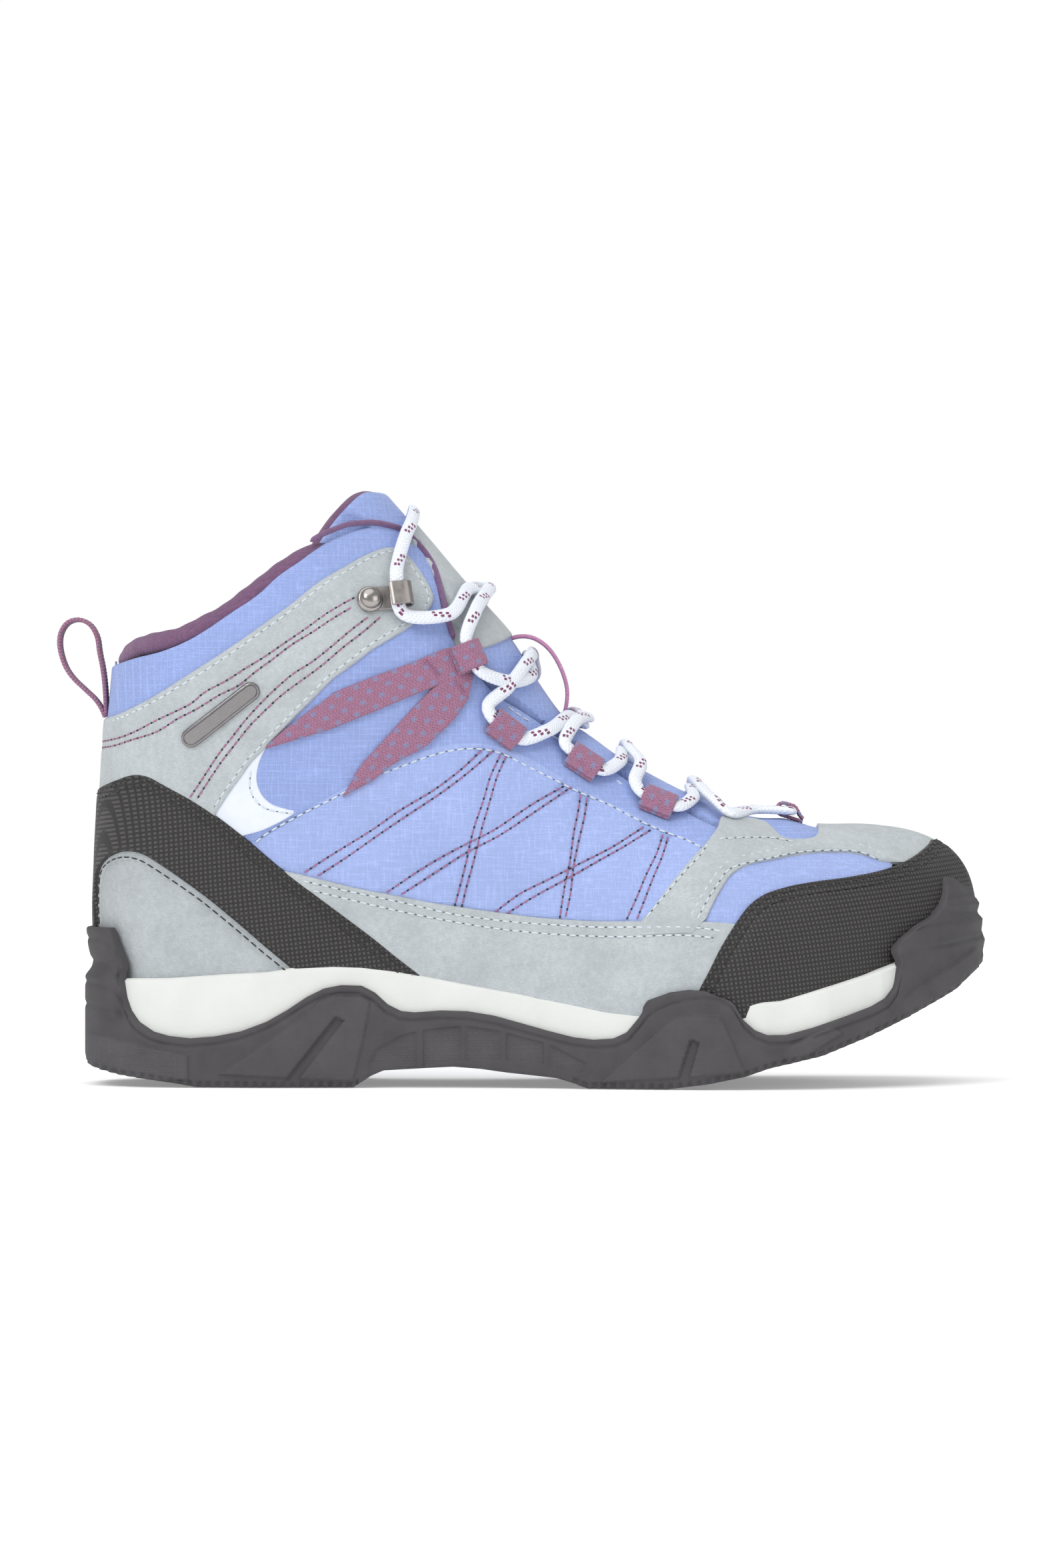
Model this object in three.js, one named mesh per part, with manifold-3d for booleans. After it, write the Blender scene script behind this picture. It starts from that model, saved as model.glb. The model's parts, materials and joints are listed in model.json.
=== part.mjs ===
// Hiking boot, right foot, as an assembly of sole, upper layers, tongue, lacing and trim.
// Millimetres. +X to the toe, +Z up, lateral side at -Y. The origin lies on the ground under the heel lug.
import * as THREE from 'three';
import { mergeVertices } from 'three/addons/utils/BufferGeometryUtils.js';
import Module from 'manifold-3d';

const wasm = await Module();
wasm.setup();

// ---------- driving dimensions ----------
const GAP = 0.32;            // clearance between touching pieces
const OVER = [0.3, 1.6];     // overlay layer, measured outward from the textile face
const TEXT = [-1.2, 0];      // textile layer
const STRAP = [1.92, 3.3];   // webbing laid over the overlays
const COUNTER = [-3.3, -1.5];
const LINING_T = 0.9;
const SOLE_WALL = [1.95, 4.3];
const FOAM_MIN = 1.8, FOAM_MAX = 6.0;
const SOLE_X0 = -39.5, SOLE_X1 = 243.5;
const UPPER_INSET = 4.5;
const LACE_W = 5.0, LACE_T = 2.1;
const BOARD_T = 1.8, FOOTBED_T = 4.2;

// stations: front/top point (x,z), rear/bottom point (x,z), rounding distance below the ridge
const ST = [[47.4,193,-30.5,145,36],[55.6,184,-30.9,134.7,38],[68,169.5,-31.5,121.3,41],[81.4,153.7,-32.5,106.9,45],[93.7,139.9,-33.6,90.4,50],[102.2,126.5,-34.6,71.9,55],[110.8,114.7,-35.2,54.4,58],[117.4,109.8,-34.4,42,60],[121.5,106.9,-31.3,33.6,60],[124.6,104.7,-30.3,32.8,60],[128.1,102.4,-27.8,32.5,60],[131.8,100.1,-22.7,32.5,61],[136.4,97.6,-12.8,33,62],[142.1,94.5,4.1,33.8,63],[149.3,91,28.8,34.6,64],[157.6,87.5,57.7,33,64],[166.9,84,88.6,27.2,62],[178.2,80.8,119.5,21.4,62],[191.6,79.5,150.4,20.2,60],[205,79.5,179.2,24.3,55],[216.7,78.1,201.9,29.7,47],[225.6,75.2,215.3,33.8,40],[231.8,70.7,223.1,36.9,33],[235.7,65.1,228.2,38.9,26],[237.7,58.5,231.5,40.4,18.5],[238.3,52.3,233.4,41.2,11.5],[237.3,46.8,234.3,41.6,6],[234.6,41.9,234.6,41.9,1.2]];
const NST = ST.length;

// plan half widths about the centre line, by fraction of length
const HL = [[0,34],[.12,34.5],[.2,37],[.3,36],[.4,36.5],[.5,40],[.6,48.4],[.68,54.2],[.75,56.5],[.82,54],[.88,47.4],[.92,39.5],[.95,31],[.975,20.5],[.99,12],[1,0]];
const HM = [[0,34],[.12,33.5],[.2,36],[.3,34],[.4,30],[.5,30],[.6,36.6],[.68,43.3],[.75,46],[.82,44.7],[.88,39.4],[.92,34],[.95,28.5],[.975,20.5],[.99,12.5],[1,0]];
const HS = [[60,34],[90,36],[110,39],[135,41],[150,39],[170,36.5],[195,34]];
const TIPX = [[30,233],[41.9,234.6],[46.8,237.3],[52.3,238.3],[58.5,237.7],[65.1,235.7],[70.7,231.8],[75.2,225.6]];
const BACKX = [[30,-31.3],[33.6,-31.3],[42,-34.4],[54.4,-35.2],[71.9,-34.6],[90.4,-33.6],[106.9,-32.5],[121.3,-31.5],[134.7,-30.9],[150,-30.5]];

// side-view outlines (x,z)
const COLLAR = [[-35,129.8],[-31.5,130.4],[-28.8,131],[-22.7,132.5],[-14.4,134.3],[-6.2,137.4],[0,140.9],[8.2,146.5],[16.5,152.2],[22.7,158],[28.8,162.1],[35,166.7],[39.1,169.1],[45.3,171.8],[50.5,173.2],[55.6,172.8],[59.7,171.4]];
const THROAT = [[59.7,171.4],[64.3,168.5],[68.6,162.9],[71.3,155.3],[73.5,146.1],[76.8,137.4],[82.8,129],[89.6,121.3],[96.8,116.8],[104,112.1],[111.2,106.9],[117.4,102.8],[124.6,98.7],[131.8,94.1],[139.1,90.4],[146.3,86.3],[152.4,83],[159.7,79.5],[168.9,77.7]];
const SIDE_TOP = [[10.3,73.5],[18.5,78.1],[24.7,81.8],[30.9,85.7],[37.1,89.4],[43.3,92.9],[51.5,97.6],[59.7,101.8],[68,104.4],[76.2,106.1],[82.4,106.5],[88.6,105.7],[94.8,103.8],[100.9,100.9],[109.2,96.2],[117.4,91.3],[125.7,87.3],[133.9,83.4],[142.1,79.3],[150.4,75.8],[157.6,72.7]];
const MUD_TOP = [[23.7,67],[35,64.3],[47.4,61.4],[59.7,58.9],[72.1,56.6],[84.5,54.8],[96.8,53.1],[109.2,51.9],[121.5,51.3],[133.9,51.3],[153.7,51.1],[161.9,50]];
const TOE_LEFT = [[133.9,51.3],[138,56],[143.2,62.6],[149.3,69.8],[154.5,75.4],[157.8,79.5],[159.4,83]];
const TOE_THROAT = [[164.8,82.4],[169.9,81.6],[173.4,80.5],[175.7,78.5],[177.6,76.6],[181.3,75.6],[186.4,75.6],[188.5,76.2]];
const TOE_LOW = [[212.6,68.0],[209.1,69.0],[205,70.5],[198.8,71.7],[191.6,71.7],[183.3,71.1],[175.1,69.8],[166.9,68],[162.3,65.5],[159,61.2],[155.9,55.8],[153.7,51.3]];
const CAP = [[150.8,28.2],[151.8,30.7],[154.5,35.8],[157.6,42],[160.7,47.2],[163.8,51.7],[167.3,56],[172,59.1],[179.2,61.2],[187.5,62.6],[195.7,63.6],[203.9,64.9],[210.1,66.3],[215.3,68.2],[220.4,70.9],[224.1,73.5],[225.8,75.6],[225.4,77.5],[223.1,78.9]];
const HEEL_OUT = [[-34,91.9],[-30.9,93.3],[-26.8,95],[-22.7,96.4],[-19.6,96.6],[-16.5,95.8],[-13.4,94.1],[-6.2,90],[2.1,84.7],[10.3,78.5],[18.5,71.7],[26.8,64.7],[35,58.5],[43.3,52.3],[51.5,46.1],[59.7,39.5],[68,33.2]];
const HEEL_IN = [[29.9,33.2],[25.8,36.9],[18.5,43],[10.3,50.1],[2.1,56.9],[-6.2,63.2],[-14.4,69],[-18.9,71.7],[-23.7,72.7],[-27.8,71.9],[-30.9,70],[-33,67.2],[-34,62.6],[-34.8,56.4],[-35.4,50.3],[-35.4,46.1],[-34.4,41],[-32.3,35.8],[-31.6,31.7]];
const ANKLE_TOP = [[-33,113.9],[-28.8,114.7],[-22.7,117],[-14.4,121.3],[-6.2,126.5],[2.1,131.8],[10.3,137.2],[18.5,143],[26.8,149.1],[35,155.7],[43.3,160.7],[49.4,164.2],[54.6,166.2],[57.7,166.2],[60.4,164.8],[63.5,161.5],[66.7,156.8],[69,152.7],[69.6,149.6],[68.2,146.7]];
const ANKLE_BOT = [[62.2,141.3],[56.6,137.8],[51.5,134.7],[45.3,130],[39.1,125.5],[34.6,120.9],[28.8,115.2],[24.7,111],[21,107.3],[17.5,103.4],[14.4,100.3],[11.3,96],[7.8,91.3],[5.2,87.3],[3.4,84.6]];
const ACCENT = [[18.5,104.4],[16.5,99.7],[15.9,94.5],[17.3,90.4],[20.2,87.5],[24.7,85.9],[27.6,85],[18.5,79.6],[11.6,77.5],[3.4,84.4],[5.2,87.3],[7.8,91.3],[11.3,96],[14.4,100.3]];
const TONGUE_TOP = [[31.3,165.4],[33,168.3],[39.1,176.8],[43.3,181.9],[46.4,185],[49,186.6],[52.5,186.9],[60,186.5]];
const TONGUE_LOW = [[154.5,78.5],[133.9,84.5],[113.3,93.5],[88.6,106.5],[68,125.5],[51.5,141.9],[37.1,156.8]];
const STRAP_UP = [[18.5,105.3],[24.7,110.6],[33,116.8],[40.2,122],[51.5,126.5],[63.9,131],[72.1,134.5],[79.0,136.6],[82.2,128.2],[80.3,127.1],[72.1,124],[63.9,120.9],[51.5,115.6],[39.1,110.6],[26.8,106.9],[18.5,104.4]];
const STRAP_LOW = [[42.2,89.6],[47.4,99.1],[55.6,107.9],[63.9,117.2],[70,123.4],[76.3,127.5],[82.0,127.5],[80.3,119.3],[76.2,113.1],[68,105.3],[57.7,99.7],[51.4,94.6]];
const BADGE = [[-4.1,107.9],[14,122]];
const BADGE_R = 2.95;
const MID_TOP = [[-42,33.1],[-31.3,33.2],[-12.4,33.6],[4.1,34.8],[18.5,35.6],[26.2,36.9],[39.1,37.5],[47.4,37.3],[55.6,36.3],[63.9,34.8],[80.3,31.7],[92.7,29.5],[111.2,26.2],[121.5,24.3],[131.8,22.9],[142.1,22.4],[152.4,23.3],[162.7,26],[177.2,27.2],[193.6,31.7],[203.9,34.8],[217.3,39.5],[224.5,42],[234.6,44.7],[250,46]];
const MID_BOT = [[-42,13],[0,12.5],[60,17],[90,16],[119,12.5],[150,13],[180,15],[205,22],[225,33],[236,40],[250,42]];
const OUT_TOP = [[-45,49],[-31.3,49],[-30.3,47],[-29.2,42.5],[-28,36.5],[-27,31],[-26.3,27.5],[-24.8,23.5],[-22.3,20],[-17.7,17],[-12.8,15.7],[-6.2,15],[2.1,15.7],[10.3,17.3],[18.5,20.4],[24.7,23.9],[30.9,28],[36,30.5],[41.2,31.5],[47.4,31.3],[51.5,29.2],[55.6,25.5],[59.7,23.5],[63.9,23.1],[72.1,23.7],[80.3,23.5],[88.6,22.2],[96.8,20],[105.1,17.7],[113.3,15.7],[119.5,15],[125.7,15.4],[129.8,17.3],[133.3,21.4],[136,24.9],[139.1,27.2],[146.3,29.7],[152.4,30.5],[157.6,30.1],[161.7,27.6],[165.4,21.4],[168.9,18.3],[173,16.7],[179.2,16.7],[187.5,18.8],[197.8,22.2],[206,25.1],[210.5,27.6],[213.2,31.1],[214.7,39],[217.9,46],[221.4,49.5],[226.6,52.5],[229.7,55.6],[232.2,58.7],[234.6,63.4],[236,64.6],[250,64.6]];
const BOTTOM = [[-45,9],[-38.7,7.4],[-35,5.4],[-27.8,3.7],[-18.5,2.3],[-10.3,1.2],[-3,0],[45.3,0],[50.7,3.5],[54.6,5.2],[68,6],[76.2,6.4],[84.5,5.8],[92.7,4.7],[108.2,3.1],[112.3,1.9],[117.4,0],[142.1,0],[154.5,1.6],[165.8,3.9],[173,6.4],[189.5,10.1],[203.9,15.7],[214.2,20.4],[224.5,25.5],[232.8,29.7],[240,35.8],[243.1,37.9],[250,44]];
const TOE_NOSE = [[236,64.6],[238.9,60.5],[241.6,56],[240.9,53.5],[242.6,51.2],[242.3,47.5],[243.4,44.6],[242.7,41],[243.1,37.9]];

// ---------- small maths ----------
const lerp = (a, b, t) => a + (b - a) * t;
const clamp = (x, a, b) => Math.min(b, Math.max(a, x));
const smooth = (t) => { t = clamp(t, 0, 1); return t * t * (3 - 2 * t); };
const table = (T, x) => {
  if (x <= T[0][0]) return T[0][1];
  for (let i = 1; i < T.length; i++) if (x <= T[i][0]) return lerp(T[i - 1][1], T[i][1], (x - T[i - 1][0]) / (T[i][0] - T[i - 1][0]));
  return T[T.length - 1][1];
};
const S = (t, p = 2.2) => { t = clamp(t, 0, 1); return Math.pow(1 - Math.pow(1 - t, p), 1 / p); };
const yc = (x) => 9 * Math.pow(clamp((x - 100) / 139, 0, 1.1), 1.2);
const station = (u) => {
  u = clamp(u, 0, NST - 1); const i = Math.min(NST - 2, Math.floor(u)), t = u - i;
  const a = ST[Math.max(0, i - 1)], b = ST[i], c = ST[i + 1], d = ST[Math.min(NST - 1, i + 2)];
  return b.map((_, k) => 0.5 * (2 * b[k] + (c[k] - a[k]) * t + (2 * a[k] - 5 * b[k] + 4 * c[k] - d[k]) * t * t + (3 * b[k] - a[k] - 3 * c[k] + d[k]) * t * t * t));
};
const halfWidth = (x, z, side) => {
  const s = (x + 34) / (table(TIPX, z) + 1 + 34);
  const foot = table(side < 0 ? HL : HM, s) - (s < 0.97 ? UPPER_INSET : UPPER_INSET * (1 - s) / 0.03);
  return lerp(Math.max(foot, 0), table(HS, z), smooth((z - 45) / 45) * smooth((175 - x) / 60));
};
// offset of the surface from the centre plane, at a point of the side view
const bulge = (u, tau, side) => {
  const s = station(u);
  const x = lerp(s[2], s[0], tau), z = lerp(s[3], s[1], tau);
  const len = Math.hypot(s[0] - s[2], s[1] - s[3]);
  const top = S((1 - tau) * len / s[4]);
  const back = S((x - table(BACKX, z)) / 33);
  return { x, z, g: halfWidth(x, z, side) * top * back, w: (1 - tau) * len };
};

// ---------- grid of the outer textile face ----------
const M = 6;                                    // columns from ridge to lower edge, each side
const US = ST.map((_, i) => i);
const throatDist = (u) => {                     // side-view distance from the ridge to the throat edge
  const s = station(u), fx = s[0], fz = s[1], dx = s[2] - fx, dz = s[3] - fz, L = Math.hypot(dx, dz);
  let best = null;
  for (let i = 1; i < THROAT.length; i++) {
    const [ax, az] = THROAT[i - 1], [bx, bz] = THROAT[i];
    const ex = bx - ax, ez = bz - az, det = dx * (-ez) + ex * dz;
    if (Math.abs(det) < 1e-9) continue;
    const t = ((ax - fx) * (-ez) + ex * (az - fz)) / det, q = (dx * (az - fz) - dz * (ax - fx)) / det;
    if (t > 0 && t < 1 && q >= 0 && q <= 1 && (best === null || t * L < best)) best = t * L;
  }
  return best;
};
const WE = US.map((u) => throatDist(u));
// rows of points, ridge in the middle column; drops(i, side) lists the distances below the ridge
const makeGrid = (drops) => {
  const G = US.map((u) => {
    const one = (side) => {
      const s = station(u), len = Math.hypot(s[0] - s[2], s[1] - s[3]) || 1;
      return drops(u, len).map((w) => { const b = bulge(u, 1 - clamp(w / len, 0, 1), side); return { p: new THREE.Vector3(b.x, yc(b.x) + side * b.g, b.z), w: b.w, x: b.x, z: b.z, side }; });
    };
    return [...one(-1).reverse(), ...one(1).slice(1)];
  });
  const m2 = G[0].length - 1;
  const N = G.map((row) => row.map(() => new THREE.Vector3()));
  for (let i = 0; i < NST - 1; i++) for (let j = 0; j < m2; j++) {
    const a = G[i][j].p, b = G[i + 1][j].p, c = G[i + 1][j + 1].p, d = G[i][j + 1].p;
    const n = new THREE.Vector3().crossVectors(new THREE.Vector3().subVectors(c, a), new THREE.Vector3().subVectors(d, b));
    for (const [k, l] of [[i, j], [i + 1, j], [i + 1, j + 1], [i, j + 1]]) N[k][l].add(n);
  }
  const flip = N[14][m2 / 2].z < 0 ? -1 : 1;
  for (let i = 0; i < NST; i++) {
    if (i <= 8) { const q = N[i][0].clone().add(N[i][m2]); N[i][0].copy(q); N[i][m2].copy(q); }
    for (let j = 0; j <= m2; j++) {
      const n = N[i][j].multiplyScalar(flip);
      if ((j === 0 || j === m2) && i > 7) n.z = 0;
      if (n.length() < 1e-9) n.set(1, 0, 0);
      n.normalize();
    }
  }
  return { G, N };
};
const BODY = makeGrid((u, len) => Array.from({ length: M + 1 }, (_, k) => len * Math.sin(Math.PI * k / M / 2) ** 2));
// the tongue's grid has columns where it dips under the throat edges
const wEdge = (i) => (i < 2 ? 14.5 : i > 17 ? 6 : (WE[i] ?? 12));
const TGRID = makeGrid((u, len) => { const e = Math.min(wEdge(u), len * 0.5); return [0, e * 0.2, e * 0.5, e * 0.74, e * 0.93, e * 0.93 + 4, e + 22, len].map((w) => Math.min(w, len)); });


// ---------- solids ----------
const toManifold = (geo) => {
  let g = geo.index ? geo : geo.clone();
  g = g.clone();
  for (const k of Object.keys(g.attributes)) if (k !== 'position') g.deleteAttribute(k);
  g = mergeVertices(g, 1e-4);
  const v = Float32Array.from(g.attributes.position.array), t = Uint32Array.from(g.index.array);
  return new wasm.Manifold(new wasm.Mesh({ numProp: 3, vertProperties: v, triVerts: t }));
};
const meshManifold = (verts, tris) => {
  const g = new THREE.BufferGeometry();
  g.setAttribute('position', new THREE.Float32BufferAttribute(verts.flat(), 3));
  g.setIndex(tris.flat());
  return toManifold(g);
};
const toGeometry = (m) => {
  const r = m.getMesh(), g = new THREE.BufferGeometry(), n = r.numProp;
  const pos = new Float32Array((r.vertProperties.length / n) * 3);
  for (let i = 0; i < pos.length / 3; i++) for (let k = 0; k < 3; k++) pos[i * 3 + k] = r.vertProperties[i * n + k];
  g.setAttribute('position', new THREE.BufferAttribute(pos, 3));
  g.setIndex(new THREE.BufferAttribute(new Uint32Array(r.triVerts), 1));
  g.computeVertexNormals();
  return g;
};
// largest connected piece of a solid
const biggest = (m) => {
  const parts = m.decompose();
  let best = parts[0], vol = -1;
  for (const p of parts) { const v = p.volume(); if (v > vol) { vol = v; best = p; } }
  return best;
};
// closed ring loft: rings of equal length, flat caps
const loft = (rings) => {
  const n = rings[0].length, verts = rings.flat().map((p) => [p.x, p.y, p.z]), tris = [];
  for (let i = 0; i < rings.length - 1; i++) for (let j = 0; j < n; j++) {
    const a = i * n + j, b = i * n + (j + 1) % n, c = a + n, d = b + n;
    tris.push([a, b, d], [a, d, c]);
  }
  const c0 = verts.length, c1 = c0 + 1;
  const mean = (r) => [0, 1, 2].map((k) => r.reduce((s, p) => s + p.getComponent(k), 0) / n);
  verts.push(mean(rings[0]), mean(rings[rings.length - 1]));
  for (let j = 0; j < n; j++) {
    tris.push([c0, (j + 1) % n, j]);
    const o = (rings.length - 1) * n;
    tris.push([c1, o + j, o + (j + 1) % n]);
  }
  let m = meshManifold(verts, tris);
  if (m.volume() < 0) m = meshManifold(verts, tris.map((t) => [t[0], t[2], t[1]]));
  return m;
};
// volume inside the upper's surface moved outward by off(i, j)
const volume = (off, { G, N } = BODY) => {
  const f = typeof off === 'function' ? off : () => off;
  const rings = G.map((row, i) => row.map((c, j) => c.p.clone().addScaledVector(N[i][j], f(i, j, c)))), m2 = G[0].length - 1;
  for (let i = 0; i < NST; i++) if (i <= 8) {   // the back seam closes on itself
    const a = rings[i][0], b = rings[i][m2], mid = a.clone().add(b).multiplyScalar(0.5);
    a.copy(mid); b.copy(mid);
    a.y -= 0.02; b.y += 0.02;
  }
  const last = rings[NST - 1];
  const tip = new THREE.Vector3(); last.forEach((p) => tip.add(p)); tip.multiplyScalar(1 / last.length);
  const o = f(NST - 1, m2 / 2, G[NST - 1][m2 / 2]);
  last.forEach((p, j) => { p.set(234.6 + o, tip.y + (j - m2 / 2) * 0.02, 41.3 + Math.abs(j - m2 / 2) * 0.004); });
  return loft(rings);
};
const shapeOf = (pts) => new THREE.Shape(pts.map((p) => new THREE.Vector2(p[0], p[1])));
const area = (p) => p.reduce((s, a, i) => { const b = p[(i + 1) % p.length]; return s + a[0] * b[1] - b[0] * a[1]; }, 0) / 2;
// polygon moved inward by d
const inset = (poly, d) => {
  const P = area(poly) < 0 ? poly.slice().reverse() : poly.slice();
  return P.map((p, i) => {
    const a = P[(i + P.length - 1) % P.length], b = P[(i + 1) % P.length];
    let e = [p[0] - a[0], p[1] - a[1]], f = [b[0] - p[0], b[1] - p[1]];
    const le = Math.hypot(...e) || 1, lf = Math.hypot(...f) || 1;
    e = e.map((v) => v / le); f = f.map((v) => v / lf);
    const n = [-(e[1] + f[1]), e[0] + f[0]], ln = Math.hypot(...n) || 1, c = clamp((e[0] * f[0] + e[1] * f[1] + 1) / 2, 0.3, 1);
    const k = d / Math.sqrt(c);
    return [p[0] + n[0] / ln * k, p[1] + n[1] / ln * k];
  });
};
// side-view polygon swept along Y
const prism = (poly, y0 = -90, y1 = 90) => {
  const g = new THREE.ExtrudeGeometry(shapeOf(poly), { depth: y1 - y0, bevelEnabled: false });
  g.rotateX(Math.PI / 2); g.translate(0, y1, 0);
  return toManifold(g);
};
// plan polygon swept along Z
const plate = (poly, z0, z1) => {
  const g = new THREE.ExtrudeGeometry(shapeOf(poly), { depth: z1 - z0, bevelEnabled: false });
  g.translate(0, 0, z0);
  return toManifold(g);
};
const box = (x0, x1, y0, y1, z0, z1) => {
  const g = new THREE.BoxGeometry(x1 - x0, y1 - y0, z1 - z0);
  g.translate((x0 + x1) / 2, (y0 + y1) / 2, (z0 + z1) / 2);
  return toManifold(g);
};
const band = (lo, hi, a, b, x0 = -60, x1 = 260) => {  // between two height tables, moved by a and b
  const xs = [...new Set([x0, x1, ...lo.map((p) => p[0]), ...hi.map((p) => p[0])])].filter((x) => x >= x0 && x <= x1).sort((p, q) => p - q);
  return [...xs.map((x) => [x, table(lo, x) + a]), ...xs.slice().reverse().map((x) => [x, table(hi, x) + b])];
};
const above = prism([...MID_TOP.map(([x, z]) => [x, z + 0.35]), [260, 46.4], [260, 230], [-60, 230], [-60, 33.4]]);

// layer offsets that vary over the foot
const foamT = (i, j, c) => {
  return FOAM_MIN + (FOAM_MAX - FOAM_MIN) * smooth((c.w - 24) / 16) * smooth((c.z - 78) / 22) * smooth((95 - c.x) / 20);
};
const liningOut = (i, j, c) => -1.5 - foamT(i, j, c) - 0.3;
const liningIn = (i, j, c) => liningOut(i, j, c) - LINING_T;
const tongueOut = (i, j, c) => {
  const we = Math.min(wEdge(i), 200);
  const open = smooth((we * 0.92 + 0.2 - c.w) / (we * 0.2)) * (i >= 15 ? smooth((18.2 - i) / 2.6) : 1);
  return lerp(liningIn(i, j, c) - 0.45, -0.35, open);
};

const vOverHi = volume(OVER[1]), vOverLo = volume(OVER[0]);
const overShell = vOverHi.subtract(vOverLo).intersect(above);
const v0 = volume(TEXT[1]), vTextLo = volume(TEXT[0]);
const textShell = v0.subtract(vTextLo).intersect(above);
const strapShell = volume(STRAP[1]).subtract(volume(STRAP[0])).intersect(above);
const counterShell = volume(COUNTER[1]).subtract(volume(COUNTER[0])).intersect(above);
const foamShell = volume(-1.5).subtract(volume((i, j, c) => -1.5 - foamT(i, j, c))).intersect(above);
const vLinIn = volume(liningIn);
const liningShell = volume(liningOut).subtract(vLinIn).intersect(above);
const cavity = volume((i, j, c) => liningIn(i, j, c) - 0.35);

const group = new THREE.Group();
group.name = 'hiking_boot';
const MATS = {
  blue_ripstop: [0xa7b8e4, 0.85, 0], blue_mesh: [0x9aa9dc, 0.9, 0], suede: [0xc1c7cb, 0.95, 0], heel_suede: [0xbbc0c4, 0.95, 0],
  black_sheet: [0x3e3c3c, 0.7, 0], white_sheet: [0xf0f2fc, 0.6, 0], purple_lining: [0x83627f, 0.95, 0], binding: [0x7d5f85, 0.8, 0],
  webbing: [0xaa82a2, 0.85, 0], lace_yarn: [0xeff3fb, 0.85, 0], foam: [0xd8d4c4, 0.95, 0], board: [0xb9a88a, 0.9, 0], stiffener: [0xcfc8b4, 0.7, 0],
  shank_nylon: [0x4a4c50, 0.5, 0], midsole_foam: [0xeaebe8, 0.7, 0], outsole_rubber: [0x656267, 0.8, 0], pewter: [0xb3aca9, 0.35, 1],
  badge_metal: [0x57575c, 0.45, 0.8], keeper_web: [0xb97fae, 0.85, 0], footbed_top: [0x6b6478, 0.9, 0], aglet_film: [0xe4e6ea, 0.3, 0],
};
const put = (name, mat, m) => {
  const solid = m.isEmpty ? m : m;
  const g = toGeometry(biggest(solid));
  const [c, r, k] = MATS[mat];
  const mesh = new THREE.Mesh(g, new THREE.MeshStandardMaterial({ color: c, roughness: r, metalness: k, name: mat }));
  mesh.name = name;
  group.add(mesh);
  return mesh;
};
const SIDES = [['lateral', -90, -0.16, -1], ['medial', 0.16, 90, 1]];
const tidy = (poly) => poly.filter((p, i) => {   // drops repeated and collinear corners
  const a = poly[(i + poly.length - 1) % poly.length], b = poly[(i + 1) % poly.length];
  const c = (p[0] - a[0]) * (b[1] - p[1]) - (p[1] - a[1]) * (b[0] - p[0]);
  return Math.hypot(p[0] - a[0], p[1] - a[1]) > 0.05 && Math.abs(c) > 1e-3;
});
const cutPanel = (shell, poly, y0, y1, d = 0.16) => shell.intersect(prism(inset(tidy(poly), d), y0, y1));

// ---------- sole ----------
const planOutline = (d) => {
  const L = [], R = [], N = 26;
  for (let k = 0; k <= N; k++) {
    const a = Math.PI * k / N, s = 0.5 - 0.5 * Math.cos(a), x = lerp(SOLE_X0 + d, SOLE_X1 - d, s);
    const round = S(s / 0.125, 2.3);
    L.push([x, yc(x) - Math.max(0, table(HL, s) - d) * round]);
    R.push([x, yc(x) + Math.max(0, table(HM, s) - d) * round]);
  }
  return [...L, ...R.slice(1, -1).reverse()];
};
const planSole = planOutline(0);
const planMid = planOutline(2.0), planMidCut = planOutline(1.7);
const midBody = plate(planMid, -2, 80).intersect(prism(band(MID_BOT, MID_TOP, 0, 0))).subtract(volume(SOLE_WALL[0] - 0.3).intersect(above));
const shankPocket = prism(band(MID_TOP, MID_TOP, -2.3, 3, 8, 112), -9.3, 9.3);
const SOLE_SIDE = [...BOTTOM.filter((p) => p[0] < 243 && p[0] > -44), ...TOE_NOSE.slice().reverse().slice(0), ...OUT_TOP.filter((p) => p[0] < 236 && p[0] > -40).reverse(), [-45, 49], [-45, 9]];
const lowSole = plate(planSole, -2, 80).intersect(prism(band([[-60, -5], [260, -5]], MID_TOP, 0, 1.6)));
let out = lowSole.add(volume(SOLE_WALL[1]).intersect(prism(band(MID_TOP, [[-60, 70], [260, 70]], -8, 0))));
out = out.intersect(prism(SOLE_SIDE));
out = out.subtract(plate(planMidCut, -2, 80).intersect(prism(band(MID_BOT, MID_TOP, -0.3, 0.3))));
out = out.subtract(volume(SOLE_WALL[0]).intersect(prism([...MID_TOP, [260, 46.4], [260, 230], [-60, 230], [-60, 33.1]])));
// tread: cross grooves and two long grooves between the lugs
const GROOVES = [[-22, 3.2, 4.2], [-9, 3.2, 4.2], [4, 3.4, 4.5], [17, 3.4, 4.5], [30, 3.4, 4.5], [122, 3.2, 4.2], [136, 3.4, 4.2], [150, 3.4, 5.2], [164, 3.6, 7.2], [178, 3.6, 10], [192, 3.6, 13.6], [206, 3.6, 19]];
for (const [x, w, top] of GROOVES) out = out.subtract(box(x - w / 2, x + w / 2, -70, 70, -3, top));
out = out.subtract(prism(band([[-60, -5], [260, -5]], BOTTOM, 0, 4.0, -30, 36), -15.5, -12)).subtract(prism(band([[-60, -5], [260, -5]], BOTTOM, 0, 4.0, -30, 36), 12, 15.5));
out = out.subtract(prism(band([[-60, -5], [260, -5]], BOTTOM, 0, 3.6, 116, 222), -17.5, -14)).subtract(prism(band([[-60, -5], [260, -5]], BOTTOM, 0, 3.6, 116, 222), 20, 23.5));
put('outsole', 'outsole_rubber', out);
put('midsole', 'midsole_foam', midBody.subtract(shankPocket));
put('shank', 'shank_nylon', prism(band(MID_TOP, MID_TOP, -2.0, -0.3, 10, 110), -9, 9));
put('lasting_board', 'board', cavity.intersect(prism(band(MID_TOP, MID_TOP, 0.4, 0.4 + BOARD_T))));
const footbedVol = volume((i, j, c) => liningIn(i, j, c) - 2.0);
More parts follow.
